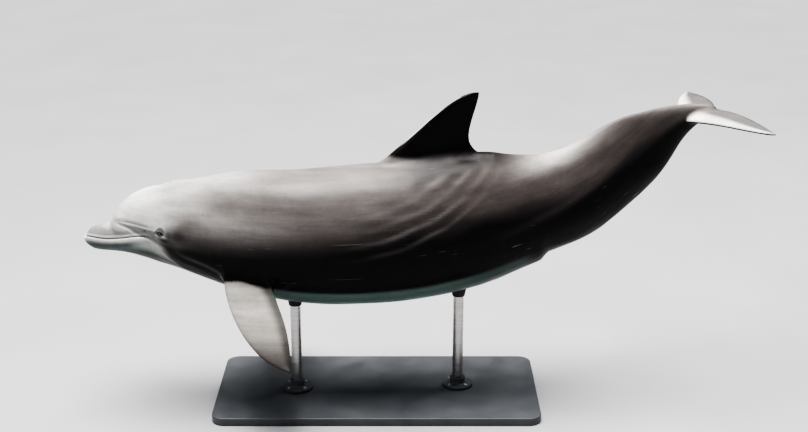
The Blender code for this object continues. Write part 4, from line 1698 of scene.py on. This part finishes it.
@dataclass(frozen=True)
class Colouring:
    """Where each colour of the hide lies, from pale head to dark flank and pale belly; much of it is painted
    light and shade from above, with painted highlights and a green painted reflection on the belly.
    """

    # The back's pale grey and the flank colours below it are painted light and shade from above.
    back: str = "#837D7A"
    # pale head, painted as lit from above
    head: str = "#BFBEBA"
    upper_flank_shade: str = "#5F5A58"
    flank: str = "#4E4846"
    shade: str = "#0F0D0D"
    # pale belly with a painted green reflection
    belly: str = "#5A6E68"
    throat: str = "#ACB1AA"
    # painted shade, tinted green, under the chin and low on the throat
    under_throat_shade: str = "#2B3633"
    jaw: str = "#4A5453"
    lip: str = "#F2F1EC"
    # painted shade on the beak's side
    beak: str = "#807F7C"
    wedge: str = "#5E605F"
    # painted highlight along the cheek ridge
    ridge: str = "#5B5855"
    # painted highlight on the crests of the flank folds
    fold: str = "#948E8B"
    # the fin's dark grey, deepened to near black by painted shade; also the painted shade round its base
    dorsal: str = "#120F0F"
    flipper: str = "#A5A19B"
    flipper_edge: str = "#262220"
    # the flukes' top, paler as lit from above, and their underside in painted shade
    fluke_top: str = "#6C6866"
    fluke_under_shade: str = "#171515"
    # painted highlight along the leading edges of the dorsal fin and flukes
    edge_highlight: str = "#F6F4EF"
    # Heights along the body where the painted shade is half dark and where it turns near black.
    half_shade_line: tuple[Pair, ...] = (
        (0.3, 0.24), (0.55, 0.22), (0.9, 0.34), (1.3, 0.5), (1.8, 0.76), (2.2, 0.64),
    )
    deep_shade_line: tuple[Pair, ...] = (
        (0.3, 0.02), (0.55, 0.05), (0.9, 0.14), (1.3, 0.26), (1.8, 0.22), (2.2, 0.16),
    )
    wedge_above: tuple[Pair, ...] = (
        (0.1, 0.074), (0.139, 0.076), (0.178, 0.076), (0.229, 0.071), (0.297, 0.058),
    )
    wedge_below: tuple[Pair, ...] = (
        (0.1, 0.076), (0.15, 0.068), (0.188, 0.058), (0.215, 0.045), (0.25, 0.024), (0.297, 0.01),
    )
    cheek_route: tuple[Pair, ...] = (
        (0.29, 0.018), (0.333, -0.001), (0.407, -0.04), (0.483, -0.067), (0.54, -0.098),
    )
    patches: tuple[SoftPatch, ...] = (
        # painted shade behind the mouth
        SoftPatch((0.35, -0.012), (0.06, 0.024), -38.0, "#1B1919", 0.9),  # behind the mouth
        # painted shade behind the eye
        SoftPatch((0.385, 0.04), (0.04, 0.03), -14.0, "#1E1B1A", 0.8),  # behind the eye
        SoftPatch((0.425, 0.085), (0.07, 0.05), -30.0, "#3F3B38", 0.5),  # behind and above the eye
        # painted shade below the eye
        SoftPatch((0.33, 0.022), (0.026, 0.01), -12.0, "#151313", 0.9),  # below the eye
        # painted shade in the corner behind the eye
        SoftPatch((0.347, 0.04), (0.013, 0.02), 10.0, "#2A2726", 0.7),  # corner behind the eye
        # painted highlight on the lower lid
        SoftPatch((0.322, 0.0365), (0.013, 0.0032), -13.0, "#B4B0AA", 0.85),  # lower lid
        SoftPatch((0.256, 0.053), (0.0032, 0.0032), 0.0, "#1E1B1A", 0.85),  # freckle
        SoftPatch((0.24, 0.19), (0.11, 0.06), 20.0, "#F4F4F0", 0.65),  # lit crown
        SoftPatch((0.36, 0.2), (0.07, 0.016), 8.0, "#8E8A86", 0.45),  # shade of the crown
        SoftPatch((0.5, 0.19), (0.16, 0.03), 6.0, "#68635F", 0.75),  # shade of the nape
        SoftPatch((0.56, 0.125), (0.16, 0.02), 5.0, "#8C8782", 0.45),  # streak of the shoulder
        SoftPatch((0.6, 0.095), (0.18, 0.05), 0.0, "#9C9794", 0.55),  # front of the flank
        SoftPatch((1.33, 0.2), (0.18, 0.06), 0.0, "#3C3836", 0.3),  # shade under the fin
        SoftPatch((1.9, 0.178), (0.15, 0.026), 0.0, "#D8D3CE", 0.75),  # lit stock
        SoftPatch((1.96, 0.032), (0.24, 0.018), 9.0, "#5A5350", 0.65),  # streak of the stock
        SoftPatch((2.25, 0.11), (0.16, 0.06), -20.0, "#4A4542", 0.7),  # end of the stock
    )

    def paint(self, body: BodyForm, places: Floats, out: dict[str, Floats]) -> Floats:
        """The hide's linear colour at each place.

        Args:
            body: the body's form, whose heights set the bands.
            places: the half grid in straight space.
            out: for each fin, how far each place stands out on it, in metres.

        Returns:
            One linear colour for each place.
        """
        x, z = places[..., 0], places[..., 2]
        tall = np.where(z > 0, body.curves["back"](x), body.curves["belly"](x))
        level = z / np.maximum(tall, 0.02)
        ragged = level + 0.05 * value_noise(places * np.array([8.0, 0.0, 20.0]), 3.3)
        trunk = rise(x, 0.27, 0.14)
        middle, dark = Curve(self.half_shade_line)(x), Curve(self.deep_shade_line)(x)
        # Painted light and shade from above: the back stays lit, and the flank darkens in painted bands down
        # to the near-black painted shade low on the side.
        colour = np.broadcast_to(np.array(linear(self.back)), places.shape).copy()
        upper = smooth_step((1.1 - ragged) / 0.36) * rise(x, 0.34, 0.26)
        colour = mix(colour, self.upper_flank_shade, upper)
        lower = rise(middle + 0.14, ragged, 0.28) * rise(x, 0.32, 0.16)
        colour = mix(colour, self.flank, lower)
        colour = mix(colour, self.shade, rise(dark + 0.22, ragged, 0.44) * trunk)
        # Painted light: the head is painted pale as if lit from above, its higher parts further back.
        high = np.clip(level, 0, 1)
        start = 0.3 + 0.14 * high**2
        colour = mix(colour, self.head, fall(x, start, 0.06 + 0.3 * high**2))
        # Painted highlight on the folds' crests and painted shade in the hollows between them.
        folds = FlankFolds().wave(places)
        colour = mix(colour, self.fold, 0.5 * np.clip(folds, 0, 1))
        colour = mix(colour, self.shade, 0.65 * np.clip(-folds, 0, 1))
        # Painted shade on the upper flank just behind the fin.
        below_back = np.minimum(body.curves["back"](x), 0.25) - z
        rear = smooth_step(1.5 * hump(x - 1.56, 0.15)) * fall(below_back, 0.07, 0.07)
        colour = mix(colour, self.flank, 0.85 * rear)
        # Painted shade round the fin's base, in the fin's near-black colour.
        saddle = smooth_step((0.045 - below_back) / 0.04) * smooth_step(1.6 * hump(x - 1.46, 0.2))
        colour = mix(colour, self.dorsal, 0.85 * saddle)
        # The pale belly, tinted green by a painted reflection of light from below.
        pale = rise(-0.6, level, 0.08) * rise(x, 0.66, 0.06)
        pale *= 1 - 0.5 * rise(x, 1.35, 0.2) - 0.5 * rise(x, 1.62, 0.08)
        colour = mix(colour, self.belly, pale)
        # Painted highlight along the cheek ridge.
        ridge, _ = route_distance(places[..., [0, 2]], route_points(self.cheek_route, 24))
        colour = mix(colour, self.ridge, 0.55 * hump(ridge, 0.007))
        colour = self.paint_face(places, colour)
        return self.paint_fins(places, colour, out)

    def paint_face(self, places: Floats, colour: Floats) -> Floats:
        """Paints the beak, the lips, the throat and the grey wedge between mouth and eye, with painted shade
        on the beak's side, under the chin and low on the throat.

        Args:
            places: the half grid.
            colour: the colour so far.

        Returns:
            The colour.
        """
        x, z = places[..., 0], places[..., 2]
        below = -above_mouth(places)
        below_mouth = rise(below, -0.002, 0.004)
        above, under = Curve(self.wedge_above)(x) - z, z - Curve(self.wedge_below)(x)
        wedge = smooth_step(above / 0.009) * smooth_step(under / 0.009) * rise(x, 0.11, 0.04)
        wedge *= fall(x, 0.285, 0.03)
        colour = mix(colour, self.wedge, 0.8 * wedge)
        # Painted shade on the beak's side; its top stays pale.
        in_beak = fall(z, 0.034, 0.022) * fall(x, 0.2, 0.04)
        colour = mix(colour, self.beak, in_beak * (1 - below_mouth))
        upper_lip = in_beak * (1 - below_mouth) * fall(-below, 0.004, 0.012)
        colour = mix(colour, self.lip, 0.45 * upper_lip)
        front = 0.281 + 0.9 * np.maximum(0.011 - z, 0)
        throat = below_mouth * fall(x, front, 0.018)
        colour = mix(colour, self.throat, throat)
        # Painted shade, tinted green, under the chin and low on the throat.
        hollow = throat * rise(below, 0.01, 0.02) * fall(x, 0.17, 0.09)
        colour = mix(colour, self.jaw, 0.95 * hollow)
        low = throat * rise(below, 0.034, 0.034) * rise(x, 0.1, 0.08)
        colour = mix(colour, self.under_throat_shade, 0.92 * low)
        edge = below_mouth * fall(below, 0.007, 0.014) * fall(x, 0.23, 0.04)
        colour = mix(colour, self.lip, edge)
        for patch in self.patches:
            colour = mix(colour, patch.colour, patch.weight(places) * (1 - throat))
        return colour

    def paint_fins(self, places: Floats, colour: Floats, out: dict[str, Floats]) -> Floats:
        """Paints each fin over the body's colour, with painted highlights along the leading edges of the
        dorsal fin and flukes and painted shade under the flukes.

        Args:
            places: the half grid.
            colour: the colour so far.
            out: how far each place stands out on each fin.

        Returns:
            The colour.
        """
        x, y, z = places[..., 0], places[..., 1], places[..., 2]
        # The fin's own dark grey, deepened by painted shade.
        line = 0.3 - 0.138 * (x - 1.213)
        on = rise(z, line, 0.014) * rise(out[DORSAL_FIN.name], -0.02, 0.02)
        colour = mix(colour, self.dorsal, on)
        # Painted highlight along the dorsal fin's rounded leading edge.
        chord, reach = DORSAL_FIN.chord(x, z)
        edge = rise(reach, 0.3, 0.2) * fall(chord, 0.006, 0.016)
        colour = mix(colour, self.edge_highlight, 0.7 * on * edge)
        # Painted light on the flukes: the top paler as lit, the underside in painted shade, and a painted
        # highlight along the leading edge.
        on = rise(out[FLUKE.name], -0.01, 0.03)
        chord, _ = FLUKE.chord(x, y)
        upper = smooth_step((z + FLUKE.tip_droop * (y / FLUKE.half_span) ** 2) / 0.003)
        colour = mix(colour, self.fluke_top, on * upper)
        colour = mix(colour, self.fluke_under_shade, on * (1 - upper))
        colour = mix(colour, self.edge_highlight, 0.9 * on * upper * fall(chord, 0.15, 0.35))
        return colour

    def paint_flipper(self, places: Floats) -> Floats:
        """The flipper's own colours, darker towards its trailing edge and its tip.

        Args:
            places: the half grid.

        Returns:
            The colour.
        """
        chord, reach = FLIPPER.chord(places[..., 0], FLIPPER.reach_out(places))
        colour = np.broadcast_to(np.array(linear(self.flipper)), places.shape).copy()
        colour = mix(colour, self.flipper_edge, 0.75 * rise(chord, 0.72, 0.22))
        return mix(colour, self.flipper_edge, 0.9 * rise(reach, 0.46, 0.46))


@dataclass
class Dolphin:
    """The animal: one hide and two eyes."""

    body: BodyForm
    spine: Spine
    colouring: Colouring = Colouring()
    flesh: tuple[str, ...] = (
        "upper_jaw", "lower_jaw", "head", "neck", "chest", "abdomen", "loin", "tail_stock_front",
        "tail_stock_rear", "dorsal_fin", "flipper_left", "flipper_right", "fluke_left", "fluke_right",
    )
    eye_rings: int = 60
    eye_segments: int = 96

    def build(self) -> Object:
        """Builds the hide and the eyes, and returns the hide.

        Returns:
            The hide.
        """
        grid = HideGrid(self.body)
        socket = EyeSocket(self.body)
        x, places, walls = grid.build()
        out = {fin.name: grid.beyond_foot(fin, places, walls[fin.name]) for fin in FINS}
        on_body = 1 - np.max([rise(far, -0.01, 0.03) for far in out.values()], 0)
        form = HideForm(self.body, grid, socket)
        shaped, lens = form.apply(x, places, on_body)
        colour = self.colouring.paint(self.body, places, out)
        marks = form.marks(x, places, lens, on_body, out[FLIPPER.name])
        hide = self.hide_piece(shaped, colour, self.colouring.paint_flipper(places), marks)
        for side in Side:
            self.eye_piece(socket, side)
        return hide

    def hide_piece(self, half: Floats, colour: Floats, paddle: Floats, marks: Floats) -> Object:
        """Joins the half grid to its mirror image, poses it and makes one closed mesh.

        Args:
            half: the half grid's points in straight space.
            colour: the hide's colour at each point.
            paddle: the flipper's colour at each point.
            marks: the marks at each point.

        Returns:
            The hide.
        """
        mirror = np.array([1.0, -1.0, 1.0])
        whole = np.concatenate([half, half[:, -2:0:-1] * mirror], 1)
        layers = {"pigment": colour, "paddle": paddle, "marks": marks}
        rings = self.spine.pose(whole)
        along = np.linalg.norm(np.diff(whole, axis=0), axis=-1).mean(1)
        loop = np.concatenate([whole, whole[:, :1]], 1)
        around = np.linalg.norm(np.diff(loop, axis=1), axis=-1).mean(0)
        uv_along = 0.004 + 0.992 * np.concatenate([[0.0], np.cumsum(along)]) / along.sum()
        uv_round = 0.002 + 0.996 * np.concatenate([[0.0], np.cumsum(around)]) / around.sum()
        mesh = ring_mesh("dolphin_hide", rings, uv_along, uv_round)
        add_attribute(mesh, "straight", with_ends(whole))
        for name, values in layers.items():
            both = with_ends(np.concatenate([values, values[:, -2:0:-1]], 1))
            add_attribute(mesh, name, np.concatenate([both, np.ones((len(both), 4 - both.shape[1]))], 1))
        return new_piece("dolphin_hide", mesh, WetHide().make(), "skin", *self.flesh)

    def eye_piece(self, socket: EyeSocket, side: Side) -> Object:
        """A ball with a slightly bulging cornea, in rings round the eye's outward direction.

        Args:
            socket: the left eye's socket.
            side: the side of the head.

        Returns:
            The eyeball.
        """
        theta = np.linspace(0.02, np.pi - 0.02, self.eye_rings)[:, None]
        phi = side.value * np.linspace(0, 2 * np.pi, self.eye_segments, endpoint=False)[None]
        radius = socket.ball_radius - 0.15 * MM + 0.45 * MM * hump(theta, 0.45)
        up = radius * np.sin(theta) * np.cos(phi)
        back = radius * np.sin(theta) * np.sin(phi)
        out = radius * np.cos(theta) + 0.0 * phi
        local = up[..., None] * socket.up + back[..., None] * socket.back + out[..., None] * socket.out
        points = (socket.centre + local) * np.array([1.0, side.value, 1.0])
        rings = self.spine.pose(points)
        name = f"eye_{side.name.lower()}"
        even = np.linspace(0.01, 0.99, self.eye_rings)
        mesh = ring_mesh(f"{name}_ball", rings, even, np.linspace(0.01, 0.99, self.eye_segments + 1))
        flat = np.stack([back, up, np.zeros_like(up)], -1).reshape(-1, 3)
        flat = np.concatenate([flat, np.zeros((2, 3))])
        add_attribute(mesh, "on_eye", flat)
        return new_piece(f"{name}_ball", mesh, EyeGloss().make(), "eye", name)


# --- the stand ---


def turned(centre: Sequence[float], profile: Sequence[Pair], around: int = 96) -> Floats:
    """Rings of a turned part: each (radius, height) of the profile once round, bottom to top.

    Args:
        centre: the foot of the part's axis.
        profile: its (radius, height) pairs.
        around: how many points are on each ring.

    Returns:
        The rings, from the first pair to the last.
    """
    shape = np.array(profile, float)
    angle = np.linspace(0, 2 * np.pi, around, endpoint=False)[None]
    radius, height = shape[:, :1], shape[:, 1:] + 0 * angle
    across, back = centre[0] + radius * np.cos(angle), centre[1] + radius * np.sin(angle)
    return np.stack([across, back, centre[2] + height], -1)


def even_uv(rings: Floats) -> tuple[Floats, Floats]:
    """Unwrap places of a turned part, by the length along its rings and evenly round them.

    Args:
        rings: the part's rings.

    Returns:
        The places along the part, and those round it.
    """
    steps = np.linalg.norm(np.diff(rings, axis=0), axis=-1).mean(1) + 1e-6
    along = np.concatenate([[0.0], np.cumsum(steps)]) / steps.sum()
    return 0.02 + 0.96 * along, np.linspace(0.01, 0.99, rings.shape[1] + 1)


@dataclass
class Stand:
    """A steel base plate, two bolted flanges, two steel rods and their rubber saddles."""

    corner: float = 0.05
    edge: float = 3.0 * MM
    rod_radius: float = 0.0205
    hub_radius: float = 0.03
    hub_height: float = 0.026
    hub_fillet: float = 7 * MM
    screw_circle: float = 0.0445
    screw_radius: float = 6.5 * MM
    screw_height: float = 4.0 * MM
    hex_half: float = 2.6 * MM
    screws: int = 4
    saddle_radius: float = 0.034
    saddle_sides: float = 0.02
    corner_steps: int = 16
    belly_reach: float = 0.07
    belly_top: float = 0.56

    def build(self, hide: Object) -> None:
        """Builds every part; the saddles follow the hide's belly.

        Args:
            hide: the dolphin's hide.
        """
        paint, steel, rubber = PowderCoat().make(), BrushedSteel().make(), BlackRubber().make()
        skin = np.zeros(len(hide.data.vertices) * 3, np.float32)
        hide.data.vertices.foreach_get("co", skin)
        skin = skin.reshape(-1, 3).astype(float)
        low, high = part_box("stand_base")
        base = self.plate(np.array(low), np.array(high))
        self.piece("stand_plate", base, paint, "stand_coating", "stand_base")
        for place in ("front", "rear"):
            low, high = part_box(f"stand_flange_{place}")
            centre = ((low[0] + high[0]) / 2, (low[1] + high[1]) / 2, low[2])
            foot = turned(centre, self.flange_profile(high[0] - centre[0], high[2] - low[2]))
            self.piece(f"stand_foot_{place}", foot, paint, "stand_coating", f"stand_flange_{place}")
            self.screws_on(place, (centre[0], centre[1], high[2]), steel)
            low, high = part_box(f"stand_rod_{place}")
            centre = ((low[0] + high[0]) / 2, (low[1] + high[1]) / 2, 0.0)
            belly = self.belly_over(skin, centre)
            top = float(belly(np.array(centre[0]), np.array(centre[1])))
            tube = turned(centre, self.rod_profile(low[2], top))
            self.piece(f"stand_tube_{place}", tube, steel, "stand_steel", f"stand_rod_{place}")
            self.piece(f"stand_saddle_{place}", self.saddle(centre, top, belly), rubber, "stand_coating")

    def piece(self, name: str, rings: Floats, material: Material, slot: str, *nodes: str) -> None:
        """One closed part from its rings."""
        new_piece(name, ring_mesh(name, rings, *even_uv(rings)), material, slot, *nodes)

    def plate(self, low: Floats, high: Floats) -> Floats:
        """A rounded rectangle in rings: in from its edge below, up its side, and in again above.

        Args:
            low: the plate's lowest corner.
            high: its highest corner.

        Returns:
            The plate's rings.
        """
        middle, half = (low + high) / 2, (high - low) / 2
        turn = np.linspace(0, np.pi / 2, self.corner_steps)
        quarter = turn[None] + np.pi / 2 * np.arange(4)[:, None]
        signs = np.array([(1, 1), (-1, 1), (-1, -1), (1, -1)], float)[:, None]
        direction = np.stack([np.cos(quarter), np.sin(quarter)], -1)
        ease = np.linspace(0, np.pi / 2, 7)
        rising, falling = self.edge * (1 - np.sin(ease)), self.edge * (1 - np.cos(ease))
        inset = np.concatenate([[60 * MM, 6 * MM], rising, falling, [6 * MM, 60 * MM]])
        height = np.concatenate([[0, 0], falling, 2 * half[2] - rising, [2 * half[2]] * 2])
        least = 2 * MM
        radius = np.maximum(self.corner - inset, least)
        beyond = np.maximum(inset, self.corner - least) - self.corner + least
        core = half[:2] - self.corner - beyond[:, None]
        flat = signs[None] * core[:, None, None] + direction[None] * radius[:, None, None, None]
        flat = flat.reshape(len(inset), -1, 2) + middle[:2]
        up = np.broadcast_to((low[2] + height)[:, None, None], (*flat.shape[:2], 1))
        return np.concatenate([flat, up], -1)

    def flange_profile(self, radius: float, thick: float) -> list[Pair]:
        """The foot: a flat disc with an eased rim, and a hub that rises in a fillet to the rod.

        Args:
            radius: the disc's radius.
            thick: the disc's thickness.

        Returns:
            The (radius, height) pairs.
        """
        hub, bore = self.hub_radius, self.rod_radius
        bend = np.linspace(0, np.pi / 2, 8)
        rise = [
            (hub + self.hub_fillet * (1 - math.sin(t)), thick + self.hub_fillet * (1 - math.cos(t)))
            for t in bend
        ]
        top = thick + self.hub_height
        return [
            (radius - 3 * MM, 0.0), (radius - 0.6 * MM, 0.0), (radius, 0.6 * MM),
            (radius, thick - 1.6 * MM), (radius - 0.5 * MM, thick - 0.5 * MM),
            (radius - 1.6 * MM, thick), (radius - 4 * MM, thick), *rise,
            (hub, top - 3 * MM), (hub, top - 1.5 * MM), (hub - 1.5 * MM, top),
            (bore + 1.5 * MM, top), (bore - 0.4 * MM, top), (bore - 0.4 * MM, top - 2 * MM),
        ]

    def rod_profile(self, foot: float, top: float) -> list[Pair]:
        """A straight tube that ends inside its saddle.

        Args:
            foot: the tube's lower end.
            top: the belly's height over it.

        Returns:
            The (radius, height) pairs.
        """
        height = np.linspace(foot + 2 * MM, top - 14 * MM, 24)
        radius = self.rod_radius
        side = [(radius, float(level)) for level in height]
        return [(radius - 2 * MM, foot), (radius, foot + 1 * MM), *side, (radius - 1.5 * MM, top - 12 * MM)]

    def screws_on(self, place: str, centre: Sequence[float], steel: Material) -> None:
        """Button-head screws round the hub, each with a six-sided recess.

        Args:
            place: front or rear.
            centre: the middle of the flange's top.
            steel: the screws' finish.
        """
        radius, tall, half = self.screw_radius, self.screw_height, self.hex_half
        arc = 0.95
        rim = [
            (radius * math.cos(t * arc), tall * math.sin(t * arc) / math.sin(arc))
            for t in np.linspace(0, 1, 8)
        ]
        profile = [
            (radius, -0.2 * MM), *rim, (half * 1.28, tall), (half * 1.16, tall - 0.15 * MM),
            (half * 1.14, tall * 0.45), (half * 0.6, tall * 0.42),
        ]
        angle = np.linspace(0, 2 * np.pi, 48, endpoint=False)
        six = 1 / np.cos((angle + np.pi / 6) % (np.pi / 3) - np.pi / 6) / 1.15
        for number in range(self.screws):
            turn = 2 * math.pi * (number + 0.5) / self.screws
            across = centre[0] + self.screw_circle * math.cos(turn)
            back = centre[1] + self.screw_circle * math.sin(turn)
            rings = turned((0.0, 0.0, centre[2]), profile, 48)
            rings[-4:, :, :2] *= six[None, :, None]
            rings[..., :2] += np.array([across, back])
            self.piece(f"stand_screw_{place}_{number + 1}", rings, steel, "stand_steel")

    def belly_over(self, skin: Floats, centre: Sequence[float]) -> Surface:
        """The belly's height near a rod, as the best-fitting quadratic surface of the hide there.

        Args:
            skin: the hide's points.
            centre: the rod's axis.

        Returns:
            The height as a function of place.
        """
        off = skin[:, :2] - np.array(centre[:2])
        near = (np.linalg.norm(off, axis=1) < self.belly_reach) & (skin[:, 2] < self.belly_top)
        u, v = off[near].T
        terms = np.stack([np.ones_like(u), u, v, u * u, u * v, v * v], -1)
        answer, *_ = np.linalg.lstsq(terms, skin[near, 2], rcond=None)

        def height(x: Floats, y: Floats) -> Floats:
            """The fitted height at one or many places."""
            u, v = x - centre[0], y - centre[1]
            level = answer[0] + answer[1] * u + answer[2] * v
            return level + answer[3] * u * u + answer[4] * u * v + answer[5] * v * v

        return height

    def saddle(self, centre: Sequence[float], top: float, belly: Surface) -> Floats:
        """A rubber cup round the rod's end, whose rim presses a little into the belly.

        Args:
            centre: the rod's axis.
            top: the belly's height there.
            belly: the belly's height at any place.

        Returns:
            The cup's rings.
        """
        bottom = top - self.saddle_sides - 12 * MM
        grip = self.rod_radius + 0.2 * MM
        wide = self.saddle_radius
        low = [(grip, 6 * MM), (grip, 0.5 * MM), (grip + 0.5 * MM, 0.0), (grip + 3.5 * MM, 0.0),
               (grip + 4.5 * MM, 1.0 * MM), (grip + 4.7 * MM, 6.0 * MM), (grip + 5.5 * MM, 10 * MM)]
        rings = [turned((centre[0], centre[1], bottom), low)]
        for radius, below in ((wide - 3 * MM, 9 * MM), (wide - 0.8 * MM, 5.5 * MM), (wide, 3.5 * MM),
                              (wide + 0.4 * MM, 1.5 * MM), (wide, -0.6 * MM), (wide - 4 * MM, -2.5 * MM)):
            ring = turned((centre[0], centre[1], 0.0), [(radius, 0.0)])
            ring[..., 2] = belly(ring[..., 0], ring[..., 1]) - below
            rings.append(ring)
        return np.concatenate(rings)


# --- light, floor and camera ---


@dataclass
class Studio:
    """A pale floor, a broad soft key from above, weak fill, and the camera."""

    half_floor: float = 30.0
    focal_mm: float = 58.6
    camera_at: Place = (-0.0847, -4.8136, 2.3825)
    camera_to: Place = (-0.0847, -0.086, 0.7547)
    world_hex: str = "#C9D2D8"
    world_strength: float = 0.22

    def build(self) -> None:
        """Builds the floor, the lights, the surroundings and the camera."""
        self.floor()
        self.sun("overhead", (-0.1, 0.06, 1.0), 42.0, 8.0, "#FFFDFC")
        self.light("key", (-0.8, -0.2, 4.4), (0.0, 0.0, 0.6), (2.4, 1.0), 190.0, "#FFFCFA")
        self.light("front fill", (-3.6, -2.4, 3.0), (-0.8, 0.0, 0.8), (1.4, 1.4), 45.0, "#F4F7FF")
        self.light("rim", (2.6, 1.8, 3.4), (0.6, 0.0, 0.9), (1.2, 1.2), 50.0, "#FFFFFF")
        world = bpy.data.worlds.new("studio air")
        world.use_nodes = True
        background = world.node_tree.nodes["Background"]
        background.inputs["Color"].default_value = rgba(self.world_hex)
        background.inputs["Strength"].default_value = self.world_strength
        bpy.context.scene.world = world
        bpy.context.scene.view_settings.look = "AgX - High Contrast"
        self.camera()

    def floor(self) -> None:
        """A wide sheet of paper just under the base plate."""
        half = self.half_floor
        mesh = bpy.data.meshes.new("floor")
        corners = [(-half, -half, 0), (half, -half, 0), (half, half, 0), (-half, half, 0)]
        mesh.from_pydata(corners, [], [(0, 1, 2, 3)])
        mesh.materials.append(StudioPaper().make())
        piece = bpy.data.objects.new("floor", mesh)
        bpy.context.scene.collection.objects.link(piece)

    def light(self, name: str, at: Place, to: Place, size: Pair, watts: float, colour: str) -> None:
        """A soft rectangular lamp that faces a point.

        Args:
            name: the lamp's name.
            at: where it hangs.
            to: the point that it faces.
            size: its width and depth.
            watts: its strength.
            colour: its colour.
        """
        lamp = bpy.data.lights.new(name, "AREA")
        lamp.shape = "RECTANGLE"
        lamp.size, lamp.size_y = size
        lamp.energy = watts
        lamp.color = linear(colour)
        piece = bpy.data.objects.new(name, lamp)
        piece.location = at
        piece.rotation_euler = (Vector(to) - Vector(at)).to_track_quat("-Z", "Y").to_euler()
        bpy.context.scene.collection.objects.link(piece)

    def sun(self, name: str, towards: Place, spread: float, strength: float, colour: str) -> None:
        """A wide soft light from far off, so that the floor is as pale far away as it is near.

        Args:
            name: the lamp's name.
            towards: the way to it.
            spread: how wide it looks, in degrees.
            strength: its strength.
            colour: its colour.
        """
        lamp = bpy.data.lights.new(name, "SUN")
        lamp.angle = math.radians(spread)
        lamp.energy = strength
        lamp.color = linear(colour)
        piece = bpy.data.objects.new(name, lamp)
        piece.rotation_euler = (-Vector(towards)).to_track_quat("-Z", "Y").to_euler()
        bpy.context.scene.collection.objects.link(piece)

    def camera(self) -> None:
        """A camera level with its horizon, looking a little down at the animal's left side."""
        data = bpy.data.cameras.new("camera")
        data.lens = self.focal_mm
        data.sensor_width = 36.0
        piece = bpy.data.objects.new("camera", data)
        piece.location = self.camera_at
        way = Vector(self.camera_to) - Vector(self.camera_at)
        piece.rotation_euler = way.to_track_quat("-Z", "Y").to_euler()
        bpy.context.scene.collection.objects.link(piece)
        bpy.context.scene.camera = piece


def main() -> None:
    """Builds the dolphin, its stand and the studio."""
    logging.basicConfig(level=logging.INFO, format="%(message)s")
    dolphin = Dolphin(BodyForm(), Spine())
    hide = dolphin.build()
    Stand().build(hide)
    Studio().build()
    bpy.context.view_layer.update()
    LOG.info("size written")


if __name__ == "__main__":
    main()
